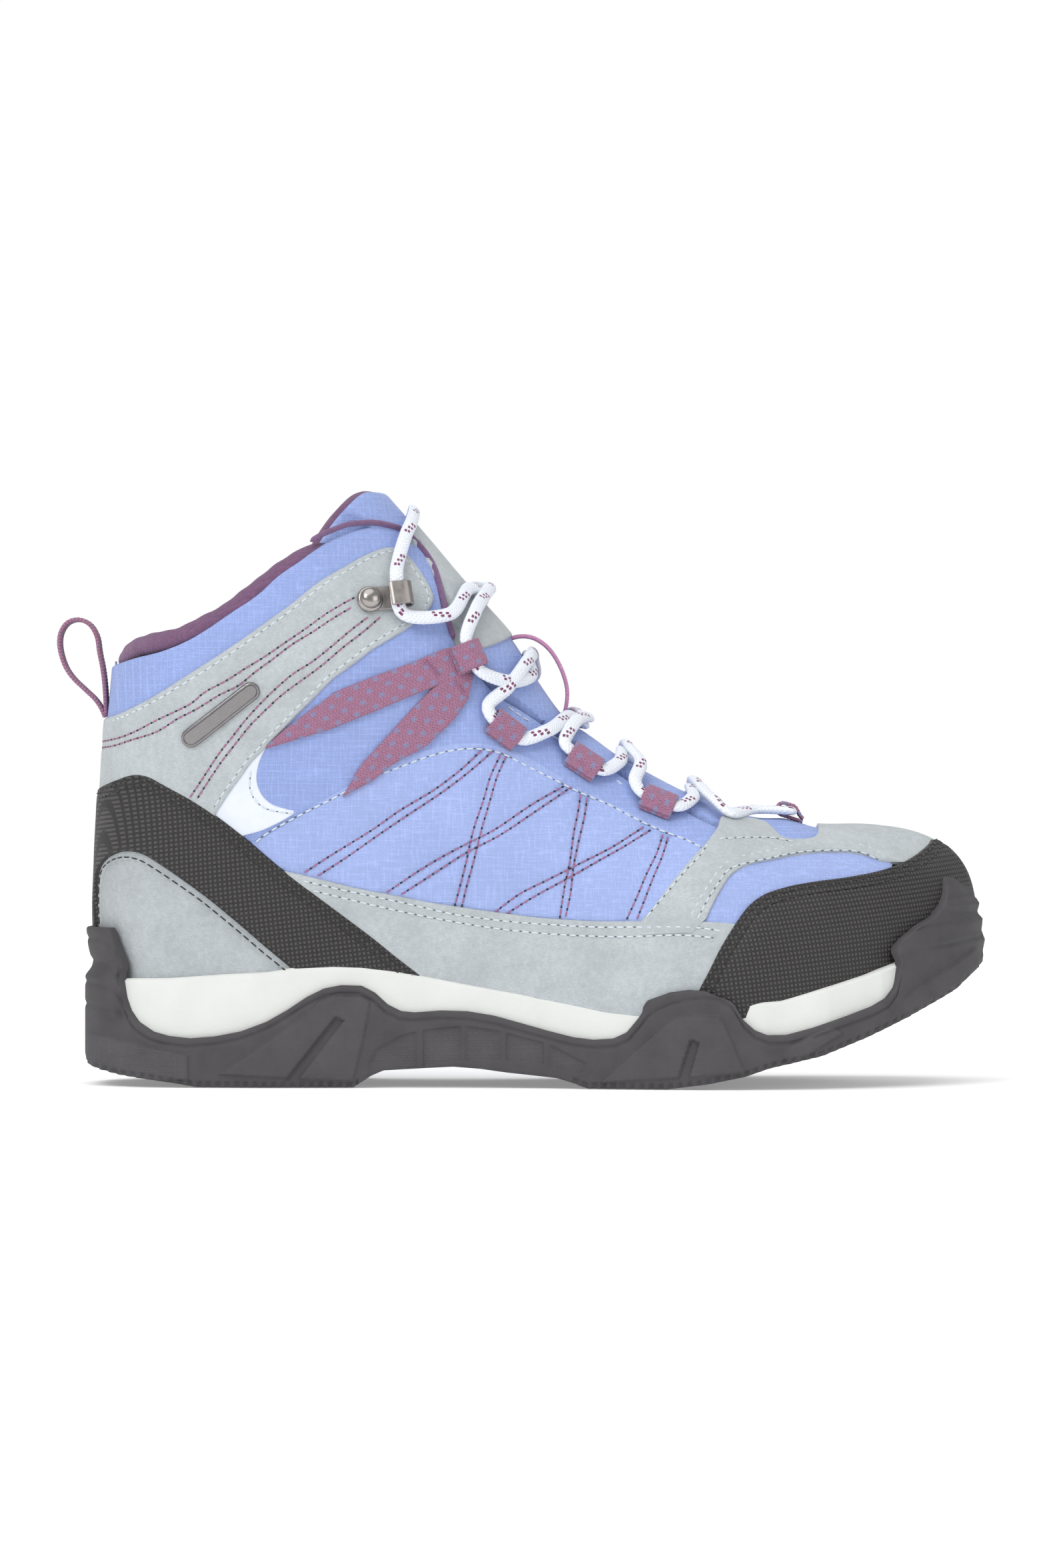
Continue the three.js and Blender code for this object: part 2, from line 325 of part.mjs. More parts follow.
put('footbed', 'footbed_top', footbedVol.intersect(prism(band(MID_TOP, MID_TOP, 0.7 + BOARD_T, 0.7 + BOARD_T + FOOTBED_T))));

// ---------- stiffeners, foam, lining ----------
put('heel_counter', 'stiffener', cutPanel(counterShell, [[-60, 20], [42, 20], [34, 50], [10, 70], [-60, 76]], -90, 90));
put('toe_puff', 'stiffener', cutPanel(counterShell, [[188, 20], [260, 20], [260, 110], [200, 110], [196, 60]], -90, 90));
put('collar_foam', 'foam', cutPanel(foamShell, [[-60, 77], [10, 71], [40, 78], [62, 100], [60, 128], [56, 150], [52, 160], [44, 167], [35, 163], [16.5, 149], [0, 137.4], [-14, 131], [-31, 127], [-60, 126]], -90, 90));
const LIN_TOP = [[-60, 134], [-30.5, 134.9], [-24.7, 138.8], [-10.3, 141.7], [0, 145.8], [9.3, 151.2], [18.5, 158.6], [27.8, 165.2], [33, 168.3], [40, 168.5], [50, 168], [56, 168.8]];
put('lining', 'purple_lining', cutPanel(liningShell, [...LIN_TOP, ...THROAT.slice(1).map(([x, z]) => [x - 1.5, z - 1.8]), [186, 74], [190, 110], [270, 110], [270, 15], [-60, 15]], -90, 90, 0));

// ---------- textile ----------
for (const [nm, y0, y1] of SIDES) {
  put('quarter_' + nm, 'blue_mesh', cutPanel(textShell, [...COLLAR, ...THROAT.slice(1), ...SIDE_TOP.slice().reverse(), [2, 62], [0, 20], [-60, 20], [-60, 129]], y0, y1));
  put('side_panel_' + nm, 'blue_ripstop', cutPanel(textShell, [...SIDE_TOP, [152, 66], [147, 58], [143, 15], [0, 15], [2, 62]], y0, y1));
}
put('vamp_textile', 'blue_ripstop', cutPanel(textShell, [[157.6, 72.7], [168.9, 77.7], [177.6, 76.2], [188.5, 75.6], [188.6, 110], [270, 110], [270, 15], [143, 15], [147, 58], [152, 66]], -90, 90));

// ---------- overlays ----------
const ankle = [[-60, 113.9], ...ANKLE_TOP, ...ANKLE_BOT, ...HEEL_OUT.slice(0, 9).reverse(), [-60, 91.9]];
const mud = [...MUD_TOP, ...CAP.slice(0, 5).reverse(), [150, 15], [69, 15], ...HEEL_OUT.slice(11).reverse()];
for (const [nm, y0, y1] of SIDES) {
  put('ankle_overlay_' + nm, 'suede', cutPanel(overShell, ankle, y0, y1));
  put('mudguard_' + nm, 'suede', cutPanel(overShell, mud, y0, y1));
  put('accent_patch_' + nm, 'white_sheet', cutPanel(overShell, ACCENT, y0, y1));
  put('heel_patch_' + nm, 'heel_suede', cutPanel(overShell, [[34, 15], ...HEEL_IN, [-31.6, 15]], y0, y1));
}
put('heel_frame', 'black_sheet', cutPanel(overShell, [[-60, 91.9], ...HEEL_OUT, [69, 15], [34, 15], ...HEEL_IN, [-31.6, 15], [-60, 15]], -90, 90));
put('toe_overlay', 'suede', cutPanel(overShell, [...TOE_LEFT, ...TOE_THROAT, [185, 100], [236, 100], ...CAP.slice(13).reverse(), ...TOE_LOW], -90, 90));
put('toe_cap', 'black_sheet', cutPanel(overShell, [[150.8, 15], ...CAP, [236, 100], [270, 100], [270, 15]], -90, 90));

// ---------- straps, badge, binding ----------
const pill = (a, b, r, n = 8) => {
  const an = Math.atan2(b[1] - a[1], b[0] - a[0]), P = [];
  for (let k = 0; k <= n; k++) P.push([b[0] + r * Math.cos(an - Math.PI / 2 + Math.PI * k / n), b[1] + r * Math.sin(an - Math.PI / 2 + Math.PI * k / n)]);
  for (let k = 0; k <= n; k++) P.push([a[0] + r * Math.cos(an + Math.PI / 2 + Math.PI * k / n), a[1] + r * Math.sin(an + Math.PI / 2 + Math.PI * k / n)]);
  return P;
};
// surface point and outward normal at a side-view point
const surf = (x, z, side) => {
  const ev = (X, Z) => {
    let lo = 0, best = 0, bd = 1e9;
    const val = (u) => { const s = station(u); return ((s[0] - s[2]) * (Z - s[3]) - (s[1] - s[3]) * (X - s[2])) / Math.hypot(s[0] - s[2], s[1] - s[3]); };
    let pu = 0, pv = val(0), u = null;
    for (let k = 1; k <= 108 && u === null; k++) { const cu = k * 0.25, v = val(cu); if (pv > 0 !== v > 0 || v === 0) { let a = pu, b = cu, va = pv; for (let q = 0; q < 24; q++) { const m = (a + b) / 2, vm = val(m); if (va > 0 !== vm > 0) b = m; else { a = m; va = vm; } } u = (a + b) / 2; } pu = cu; pv = v; }
    if (u === null) u = 0;
    const s = station(u), L2 = (s[0] - s[2]) ** 2 + (s[1] - s[3]) ** 2;
    const tau = clamp(((X - s[2]) * (s[0] - s[2]) + (Z - s[3]) * (s[1] - s[3])) / L2, 0, 1);
    return bulge(u, tau, side).g;
  };
  const g = ev(x, z), h = 0.6, gx = (ev(x + h, z) - ev(x - h, z)) / (2 * h), gz = (ev(x, z + h) - ev(x, z - h)) / (2 * h);
  const dy = (yc(x + 1) - yc(x - 1)) / 2;
  const n = new THREE.Vector3(-gx - side * dy, side, -gz).normalize();
  return { p: new THREE.Vector3(x, yc(x) + side * g, z), n };
};
// frame at a place on the surface: e2 along the given side-view direction
const frameAt = (x, z, dir, side) => {
  const { p, n } = surf(x, z, side);
  const q = surf(x + dir[0] * 3, z + dir[1] * 3, side).p.clone().sub(surf(x - dir[0] * 3, z - dir[1] * 3, side).p);
  const e2 = q.addScaledVector(n, -q.dot(n)).normalize(), e1 = new THREE.Vector3().crossVectors(n, e2);
  return { p, n, e1, e2 };
};
// outline in (e2, n), extruded along e1 by w
const placed = (shape, w, F, lift) => {
  const g = new THREE.ExtrudeGeometry(shape, { depth: w, bevelEnabled: false, curveSegments: 5 });
  g.translate(0, 0, -w / 2);
  const o = F.p.clone().addScaledVector(F.n, lift);
  g.applyMatrix4(new THREE.Matrix4().makeBasis(F.e2, F.n, new THREE.Vector3().crossVectors(F.e2, F.n)).setPosition(o));
  return toManifold(g);
};
const ringShape = (a, b, h, t) => {          // hairpin of webbing seen from its edge, from a to b, height h
  const s = new THREE.Shape(); const r = h / 2;
  s.moveTo(a, 0); s.lineTo(b - r, 0); s.absarc(b - r, r, r, -Math.PI / 2, Math.PI / 2, false); s.lineTo(a, h); s.closePath();
  const q = new THREE.Path(), ri = r - t;
  const c0 = b - r - 2.6, c1 = b - r;
  q.absarc(c0, r, ri, Math.PI / 2, 3 * Math.PI / 2, false); q.absarc(c1, r, ri, -Math.PI / 2, Math.PI / 2, false); q.closePath();
  s.holes.push(q); return s;
};
const LOOPS = [[91.5, 110.2, [0.5, 0.87]], [115.8, 99.4, [0.5, 0.87]], [139.3, 86.6, [0.45, 0.89]]];
const EYE = [80.4, 132.4, [0.93, 0.36]];
const HOOKAT = [50.1, 149.6, [0.95, 0.1]];
for (const [nm, y0, y1, sd] of SIDES) {
  const F = frameAt(...EYE, sd);
  const eye = placed(ringShape(-5.5, 3.2, 5.0, 1.0), 8.6, F, 1.95);
  put('ghillie_strap_' + nm, 'webbing', cutPanel(strapShell, STRAP_UP, y0, y1).add(cutPanel(strapShell, STRAP_LOW, y0, y1)).add(eye));
  LOOPS.forEach(([x, z, d], k) => {
    const G = frameAt(x, z, d, sd);
    put(`eyelet_loop_${nm}_${k + 1}`, 'webbing', placed(ringShape(-4.6, 3.6, 4.6, 0.85), 10.4, G, 0.75));
  });
  // lace hook: base plate, neck and returned lip
  const H = frameAt(HOOKAT[0], HOOKAT[1], HOOKAT[2], sd);
  const hs = new THREE.Shape([[-4.2, 0], [12, 0], [13, 0.9], [13, 4.9], [12.1, 5.8], [6.4, 5.8], [5.6, 5.2], [6.2, 4.4], [11.6, 4.8], [12, 4.4], [12, 1.4], [11.6, 0.9], [-4.2, 0.9]].map((p) => new THREE.Vector2(...p)));
  put('hook_' + nm, 'pewter', placed(hs, 7.4, H, 2.0));
  const dome = new THREE.LatheGeometry([[0, 0], [3.2, 0], [3.1, 0.7], [2.4, 1.35], [1.2, 1.7], [0, 1.8]].map((p) => new THREE.Vector2(...p)), 16);
  dome.applyMatrix4(new THREE.Matrix4().makeBasis(H.e2, H.n, new THREE.Vector3().crossVectors(H.e2, H.n)).setPosition(H.p.clone().addScaledVector(H.n, 3.2)));
  put('rivet_' + nm, 'pewter', toManifold(dome));
  const edge = [...THROAT.slice(0, 6)];
  put('edge_binding_' + nm, 'binding', cutPanel(overShell, [[50.5, 173.2], [55.6, 172.8], ...edge, [75.2, 136.9], [72.0, 145.7], [69.9, 149], [69.9, 154.6], [67.5, 160.9], [63.8, 166.3], [59.2, 169.6], [55.6, 171], [50.5, 171.4]], y0, y1));
}
put('badge_plate', 'badge_metal', cutPanel(strapShell, pill(BADGE[0], BADGE[1], BADGE_R), -90, -0.2, 0));

// toe loop across the centre line, at the front of the throat
const toeShape = ringShape(-5.2, 3.6, 4.8, 0.9);
{
  const g = new THREE.ExtrudeGeometry(toeShape, { depth: 10, bevelEnabled: false, curveSegments: 5 });
  g.translate(0, 0, -5);
  // profile axis e2 points back along the ridge, the lift is straight out of the surface
  const e2 = new THREE.Vector3(-0.955, 0, 0.297), n = new THREE.Vector3(0.297, 0, 0.955);
  g.applyMatrix4(new THREE.Matrix4().makeBasis(e2, n, new THREE.Vector3().crossVectors(e2, n)).setPosition(new THREE.Vector3(180.2, yc(180), 82.9)));
  put('toe_loop', 'webbing', toManifold(g));
}

// ---------- tongue ----------
const TONGUE = [...TONGUE_TOP, [75, 200], [170, 120], [176, 84], [170, 74.5], ...TONGUE_LOW];
const tv = (d) => volume((i, j, c) => tongueOut(i, j, c) - d, TGRID);
const t0 = tv(0), t1 = tv(1.0), t2 = tv(1.3), t3 = tv(5.3), t4 = tv(5.6), t5 = tv(6.4);
const tPr = (d) => prism(inset(TONGUE, d));
const rim = prism([...LIN_TOP.slice(0, 9), [40, 171.4], [45.3, 172.6], [50.5, 173.7], [55.7, 173.3], [60, 171.8], ...THROAT.slice(1, 17).map(([x, z]) => [x + 0.3, z + 0.35]), [159.4, 83.4], [164.8, 82.9], [170, 82.1], [173.7, 81], [176.1, 78.9], [177.8, 77.1], [181.3, 76.1], [186.4, 76.1], [189.2, 76.8], [190, 110], [270, 110], [270, 15], [-60, 15]])
  .subtract(volume((i, j, c) => liningIn(i, j, c) - 0.32)).intersect(above);
put('tongue_outer', 'blue_mesh', t0.subtract(t1).intersect(tPr(0)).subtract(rim));
put('tongue_foam', 'foam', t2.subtract(t3).intersect(tPr(0.9)).subtract(rim));
put('tongue_lining', 'purple_lining', t4.subtract(t5).intersect(tPr(0)).subtract(rim));
const PATCH = [[62.6, 176.5], [66, 173], [69.5, 166], [73.4, 158.5], [77, 150], [79, 141], [80.3, 136.6], [84.9, 136.8], [88.6, 137.2], [92.3, 138.4], [95.2, 140.4], [102, 146], [80, 180]];
const tp0 = tv(-1.35), tp1 = tv(-0.3);
put('tongue_patch', 'suede', tp0.subtract(tp1).intersect(prism(PATCH)));
// lace keeper: an arch of webbing standing on the tongue
{
  const A = [];
  const c = [[90.4, 135.4], [94.2, 139.0], [100.0, 139.4], [105.2, 136.4], [109.4, 130.2], [111.6, 122.8], [110.8, 116.4]];
  const curve = new THREE.CatmullRomCurve3(c.map(([x, z]) => new THREE.Vector3(x, z, 0)));
  const P = curve.getPoints(16), O = [], I = [];
  P.forEach((p, k) => { const t = curve.getTangent(k / 16); O.push([p.x - t.y * 0.6, p.y + t.x * 0.6]); I.push([p.x + t.y * 0.6, p.y - t.x * 0.6]); });
  put('tongue_keeper', 'keeper_web', prism([...O, ...I.reverse()], -5 + 0.5, 5 + 0.5).subtract(tv(-0.3).add(tp0).add(tv(-1.6).intersect(prism(PATCH)))));
}

// ---------- lace ----------
// crossings from the toe upward: path from the front loop to the ridge, ridge point, path from the ridge to the rear loop
const CROSS = [
  { up: [[169.5, 82.8], [161.0, 82.2], [155.4, 86.0]], top: [149.8, 91.2], down: [[149.9, 87.6]] },
  { up: [[131.6, 92.2], [132.8, 97.4]], top: [128.0, 102.7], down: [[126.6, 98.8]] },
  { up: [[109.4, 104.6], [112.6, 110.6]], top: [115.6, 117.4], down: [[111.2, 113.4], [103.8, 108.4]] },
  { up: [[85.8, 117.0], [91.2, 122.4]], top: [98.2, 132.2], down: [[99.2, 127.0], [91.4, 124.4]] },
  { up: [[80.4, 144.6], [83.4, 150.8]], top: [83.4, 157.4], down: [[79.0, 152.6], [72.6, 143.8]] },
];
const lacePts = [];
const addL = (x, z, side, h) => { const s = side === 0 ? null : surf(x, z, side); if (side === 0) lacePts.push({ p: new THREE.Vector3(x, yc(x), z), n: new THREE.Vector3(0.5, 0, 0.86) }); else lacePts.push({ p: s.p.clone().addScaledVector(s.n, h), n: s.n.clone() }); };
const ridgeN = (x) => { const f = (X) => { for (let i = 0; i < NST - 1; i++) if (ST[i][0] <= X && X <= ST[i + 1][0]) return lerp(ST[i][1], ST[i + 1][1], (X - ST[i][0]) / (ST[i + 1][0] - ST[i][0])); return 80; }; const d = (f(x + 2) - f(x - 2)) / 4; return { z: f(x), n: new THREE.Vector3(-d, 0, 1).normalize() }; };
// one half of the lace, starting on side s at the toe, running up to the top
const half = (s, hi) => {
  const P = [];
  const on = (x, z, side, h) => { const q = surf(x, z, side); P.push({ p: q.p.clone().addScaledVector(q.n, h), n: q.n }); };
  const ridge = (x, h) => { const r = ridgeN(x); P.push({ p: new THREE.Vector3(x, yc(x), r.z).addScaledVector(r.n, h), n: r.n }); };
  let side = s;
  CROSS.forEach((c, k) => {
    const top = (k % 2 === 0) === hi, over = k === 3 ? (top ? 3.35 : 1.25) : k === 4 ? (top ? 5.6 : 3.0) : (top ? 4.3 : 1.7);
    c.up.forEach(([x, z], m) => on(x, z, side, m === c.up.length - 1 ? lerp(2.6, over, 0.6) : k === 4 ? 4.4 : 2.9));
    const r = ridgeN(c.top[0]), upEnd = c.up[c.up.length - 1], mid = (q) => [lerp(c.top[0], q[0], 0.22), lerp(r.z, q[1], 0.22)];
    on(...mid(upEnd), side, lerp(2.8, over, 0.85));
    ridge(c.top[0], over);
    side = -side;
    on(...mid(c.down[0]), side, lerp(2.8, over, 0.85));
    c.down.forEach(([x, z], m) => on(x, z, side, m === 0 ? lerp(2.6, over, 0.6) : (k === 4 ? 4.4 : k === 2 ? 3.4 : 2.9)));
    // through the loop, the eye or the hook, from its front to its rear
    const [at, half2, e, h] = k < 3 ? [LOOPS[2 - k], 5.7, 0, 3.05] : k === 3 ? [EYE, 4.9, -0.6, 4.45] : [HOOKAT, 5.8, 9.0, 4.65];
    const F = frameAt(at[0], at[1], at[2], side), front = F.e1.x + (k === 4 ? -3 * F.e1.z : 0) > 0 ? 1 : -1;
    for (const q of k === 4 ? [1, -1] : [1, 0, -1]) P.push({ p: F.p.clone().addScaledVector(F.e1, q * front * half2).addScaledVector(F.e2, e).addScaledVector(F.n, h), n: F.n });
  });
  return { P, side };
};
const A = half(-1, true), B = half(1, false);
// both ends go over the tongue on the medial side and are tucked down inside the shaft
const ends = (H, cross) => {
  const on = (x, z, side, h) => { const q = surf(x, z, side); H.P.push({ p: q.p.clone().addScaledVector(q.n, h), n: q.n }); };
  const raw = (x, y, z, n) => H.P.push({ p: new THREE.Vector3(x, y, z), n: new THREE.Vector3(...n).normalize() });
  const s = H.side;
  on(57.4, 160.4, s, 4.0);
  if (cross) {
    on(59.3, 168.4, s, 3.4); on(60.9, 173.2, s, 3.2);
    const r = ridgeN(61.3); H.P.push({ p: new THREE.Vector3(61.3, yc(61), r.z).addScaledVector(r.n, 2.9), n: r.n });
    on(57.6, 178.4, 1, 2.8); raw(50.5, 20.4, 185.6, [0.2, 0.5, 0.9]);
    raw(42.5, 23.2, 186.2, [-0.3, 0.3, 0.9]); raw(31.5, 17.5, 177.5, [-0.8, 0.2, 0.5]);
    raw(25.0, 17.5, 160, [-0.9, 0.3, 0.1]); raw(18.0, 19, 145, [-0.5, 0.8, 0]); raw(13.0, 20, 128, [0, 1, 0]); raw(11.0, 20, 110, [0, 1, 0]);
  } else {
    on(58.6, 168.0, 1, 3.2); on(54.0, 174.4, 1, 2.2);
    raw(43.5, 29.4, 176.2, [0, 0.8, 0.6]); raw(31.5, 28.4, 174.0, [-0.4, 0.6, 0.7]);
    raw(24.8, 25.2, 164.5, [-0.8, 0.5, 0.2]); raw(17.0, 26.2, 148, [-0.2, 1, 0]); raw(12.0, 26.4, 130, [0, 1, 0]); raw(9.0, 26.0, 112, [0, 1, 0]);
  }
};
ends(A, false); ends(B, true);
// lace route: end of B, down to the toe, across through the toe loop, up along A
const toeMid = [7.4, 0, -7.4].map((dy) => ({ p: new THREE.Vector3(181.0, yc(180) + dy, 85.2), n: new THREE.Vector3(0.297, 0, 0.955) }));
const ROUTE = [...B.P.slice().reverse(), ...toeMid, ...A.P];
const tube = (pts, w, t, sub = 1, sides = 8) => {
  const c = new THREE.CatmullRomCurve3(pts.map((q) => q.p), false, 'centripetal');
  const n = (pts.length - 1) * sub, rings = [];
  for (let k = 0; k <= n; k++) {
    const f = k / n, p = c.getPoint(f), T = c.getTangent(f).normalize(), i = Math.min(pts.length - 2, Math.floor(f * (pts.length - 1))), fr = f * (pts.length - 1) - i;
    const N = pts[i].n.clone().lerp(pts[i + 1].n, fr); N.addScaledVector(T, -N.dot(T)).normalize();
    const Bn = new THREE.Vector3().crossVectors(T, N);
    const ring = [];
    for (let a = 0; a < sides; a++) { const th = 2 * Math.PI * (a + 0.5) / sides; ring.push(p.clone().addScaledVector(Bn, Math.cos(th) * w / 2 * 1.05).addScaledVector(N, Math.sin(th) * t / 2 * 1.05)); }
    rings.push(ring);
  }
  return loft(rings);
};
const laceSolid = tube(ROUTE.slice(1, -1), 3.2, LACE_T - 0.1, 1);
put('lace', 'lace_yarn', laceSolid);
const aglet = (a, b) => {
  const d = b.p.clone().sub(a.p).normalize(), s = a.p.clone().addScaledVector(d, 0.5);
  const P = [0, 6, 12, 17].map((k) => ({ p: s.clone().addScaledVector(d, k), n: a.n }));
  return tube(P, 2.6, 2.4, 1);
};
put('aglet_1', 'aglet_film', aglet(ROUTE[ROUTE.length - 2], ROUTE[ROUTE.length - 1]));
put('aglet_2', 'aglet_film', aglet(ROUTE[1], ROUTE[0]));

// ---------- pull loop at the back ----------
{
  const c = [[-33.9, 116.4], [-36.2, 120], [-39.1, 122.8], [-43.3, 126.9], [-45.7, 130.6], [-47.4, 136.8], [-47, 140.9], [-44.9, 144], [-41.6, 145], [-38.1, 143.6], [-35.8, 139.9], [-34.9, 134.7], [-33.7, 129.6], [-32.95, 123.6], [-32.75, 117.8]];
  const curve = new THREE.CatmullRomCurve3(c.map(([x, z]) => new THREE.Vector3(x, z, 0)));
  const P = curve.getPoints(28), O = [], I = [];
  P.forEach((p, k) => { const t = curve.getTangent(k / 28); O.push([p.x - t.y * 0.62, p.y + t.x * 0.62]); I.push([p.x + t.y * 0.62, p.y - t.x * 0.62]); });
  const strap = prism([...O, ...I.reverse()], -6, 6);
  put('pull_loop', 'webbing', strap.add(prism([[-34.9, 116.2], [-32.3, 116.2], [-32.3, 119.2], [-35.6, 119.2]], -6, 6)));
}

export default group;
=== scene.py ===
import json
import math
import bpy
import numpy as np
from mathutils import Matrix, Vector
from mathutils.geometry import delaunay_2d_cdt


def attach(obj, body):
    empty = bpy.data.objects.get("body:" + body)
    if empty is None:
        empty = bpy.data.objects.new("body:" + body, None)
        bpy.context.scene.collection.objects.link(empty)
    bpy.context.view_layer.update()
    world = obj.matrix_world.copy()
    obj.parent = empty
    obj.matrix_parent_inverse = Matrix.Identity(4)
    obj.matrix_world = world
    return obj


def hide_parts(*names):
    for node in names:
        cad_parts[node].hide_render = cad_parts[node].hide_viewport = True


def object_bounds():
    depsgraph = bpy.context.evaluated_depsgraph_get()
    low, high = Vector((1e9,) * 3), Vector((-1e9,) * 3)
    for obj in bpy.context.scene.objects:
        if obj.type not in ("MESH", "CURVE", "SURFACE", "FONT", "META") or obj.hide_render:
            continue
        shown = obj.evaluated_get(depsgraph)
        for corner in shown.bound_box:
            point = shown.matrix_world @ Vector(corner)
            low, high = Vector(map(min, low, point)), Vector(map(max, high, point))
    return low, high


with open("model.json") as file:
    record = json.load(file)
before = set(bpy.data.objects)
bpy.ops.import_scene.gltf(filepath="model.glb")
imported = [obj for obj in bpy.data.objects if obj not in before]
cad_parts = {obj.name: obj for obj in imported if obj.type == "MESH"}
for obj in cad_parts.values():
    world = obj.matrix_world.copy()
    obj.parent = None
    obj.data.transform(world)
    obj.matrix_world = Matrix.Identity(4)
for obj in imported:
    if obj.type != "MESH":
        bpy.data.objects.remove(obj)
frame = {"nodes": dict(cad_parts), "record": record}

CAD_LO, CAD_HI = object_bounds()
CAD_LO, CAD_HI = [float(v) for v in CAD_LO], [float(v) for v in CAD_HI]

# ------------------------------------------------------------------ scale of the traced outlines
K = 0.206                                    # mm per unit of the traced outlines
def px(pts):
    return [((a - 310.0) * K, (1629.5 - b) * K) for a, b in pts]

# ------------------------------------------------------------------ driving data, millimetres, as in the CAD source
ST = [[47.4,193,-30.5,145,36],[55.6,184,-30.9,134.7,38],[68,169.5,-31.5,121.3,41],[81.4,153.7,-32.5,106.9,45],[93.7,139.9,-33.6,90.4,50],[102.2,126.5,-34.6,71.9,55],[110.8,114.7,-35.2,54.4,58],[117.4,109.8,-34.4,42,60],[121.5,106.9,-31.3,33.6,60],[124.6,104.7,-30.3,32.8,60],[128.1,102.4,-27.8,32.5,60],[131.8,100.1,-22.7,32.5,61],[136.4,97.6,-12.8,33,62],[142.1,94.5,4.1,33.8,63],[149.3,91,28.8,34.6,64],[157.6,87.5,57.7,33,64],[166.9,84,88.6,27.2,62],[178.2,80.8,119.5,21.4,62],[191.6,79.5,150.4,20.2,60],[205,79.5,179.2,24.3,55],[216.7,78.1,201.9,29.7,47],[225.6,75.2,215.3,33.8,40],[231.8,70.7,223.1,36.9,33],[235.7,65.1,228.2,38.9,26],[237.7,58.5,231.5,40.4,18.5],[238.3,52.3,233.4,41.2,11.5],[237.3,46.8,234.3,41.6,6],[234.6,41.9,234.6,41.9,1.2]]
HL = [[0,34],[.12,34.5],[.2,37],[.3,36],[.4,36.5],[.5,40],[.6,48.4],[.68,54.2],[.75,56.5],[.82,54],[.88,47.4],[.92,39.5],[.95,31],[.975,20.5],[.99,12],[1,0]]
HM = [[0,34],[.12,33.5],[.2,36],[.3,34],[.4,30],[.5,30],[.6,36.6],[.68,43.3],[.75,46],[.82,44.7],[.88,39.4],[.92,34],[.95,28.5],[.975,20.5],[.99,12.5],[1,0]]
HS = [[60,34],[90,36],[110,39],[135,41],[150,39],[170,36.5],[195,34]]
TIPX = [[30,233],[41.9,234.6],[46.8,237.3],[52.3,238.3],[58.5,237.7],[65.1,235.7],[70.7,231.8],[75.2,225.6]]
BACKX = [[30,-31.3],[33.6,-31.3],[42,-34.4],[54.4,-35.2],[71.9,-34.6],[90.4,-33.6],[106.9,-32.5],[121.3,-31.5],[134.7,-30.9],[150,-30.5]]
COLLAR = [[-35,129.8],[-31.5,130.4],[-28.8,131],[-22.7,132.5],[-14.4,134.3],[-6.2,137.4],[0,140.9],[8.2,146.5],[16.5,152.2],[22.7,158],[28.8,162.1],[35,166.7],[39.1,169.1],[45.3,171.8],[50.5,173.2],[55.6,172.8],[59.7,171.4]]
THROAT = [[59.7,171.4],[64.3,168.5],[68.6,162.9],[71.3,155.3],[73.5,146.1],[76.8,137.4],[82.8,129],[89.6,121.3],[96.8,116.8],[104,112.1],[111.2,106.9],[117.4,102.8],[124.6,98.7],[131.8,94.1],[139.1,90.4],[146.3,86.3],[152.4,83],[159.7,79.5],[168.9,77.7]]
SIDE_TOP = [[10.3,73.5],[18.5,78.1],[24.7,81.8],[30.9,85.7],[37.1,89.4],[43.3,92.9],[51.5,97.6],[59.7,101.8],[68,104.4],[76.2,106.1],[82.4,106.5],[88.6,105.7],[94.8,103.8],[100.9,100.9],[109.2,96.2],[117.4,91.3],[125.7,87.3],[133.9,83.4],[142.1,79.3],[150.4,75.8],[157.6,72.7]]
MUD_TOP = [[23.7,67],[35,64.3],[47.4,61.4],[59.7,58.9],[72.1,56.6],[84.5,54.8],[96.8,53.1],[109.2,51.9],[121.5,51.3],[133.9,51.3],[153.7,51.1],[161.9,50]]
TOE_LEFT = [[133.9,51.3],[138,56],[143.2,62.6],[149.3,69.8],[154.5,75.4],[157.8,79.5],[159.4,83]]
TOE_THROAT = [[164.8,82.4],[169.9,81.6],[173.4,80.5],[175.7,78.5],[177.6,76.6],[181.3,75.6],[186.4,75.6],[188.5,76.2]]
TOE_LOW = [[212.6,68.0],[209.1,69.0],[205,70.5],[198.8,71.7],[191.6,71.7],[183.3,71.1],[175.1,69.8],[166.9,68],[162.3,65.5],[159,61.2],[155.9,55.8],[153.7,51.3]]
CAP = [[150.8,28.2],[151.8,30.7],[154.5,35.8],[157.6,42],[160.7,47.2],[163.8,51.7],[167.3,56],[172,59.1],[179.2,61.2],[187.5,62.6],[195.7,63.6],[203.9,64.9],[210.1,66.3],[215.3,68.2],[220.4,70.9],[224.1,73.5],[225.8,75.6],[225.4,77.5],[223.1,78.9]]
HEEL_OUT = [[-34,91.9],[-30.9,93.3],[-26.8,95],[-22.7,96.4],[-19.6,96.6],[-16.5,95.8],[-13.4,94.1],[-6.2,90],[2.1,84.7],[10.3,78.5],[18.5,71.7],[26.8,64.7],[35,58.5],[43.3,52.3],[51.5,46.1],[59.7,39.5],[68,33.2]]
HEEL_IN = [[29.9,33.2],[25.8,36.9],[18.5,43],[10.3,50.1],[2.1,56.9],[-6.2,63.2],[-14.4,69],[-18.9,71.7],[-23.7,72.7],[-27.8,71.9],[-30.9,70],[-33,67.2],[-34,62.6],[-34.8,56.4],[-35.4,50.3],[-35.4,46.1],[-34.4,41],[-32.3,35.8],[-31.6,31.7]]
ANKLE_TOP = [[-33,113.9],[-28.8,114.7],[-22.7,117],[-14.4,121.3],[-6.2,126.5],[2.1,131.8],[10.3,137.2],[18.5,143],[26.8,149.1],[35,155.7],[43.3,160.7],[49.4,164.2],[54.6,166.2],[57.7,166.2],[60.4,164.8],[63.5,161.5],[66.7,156.8],[69,152.7],[69.6,149.6],[68.2,146.7]]
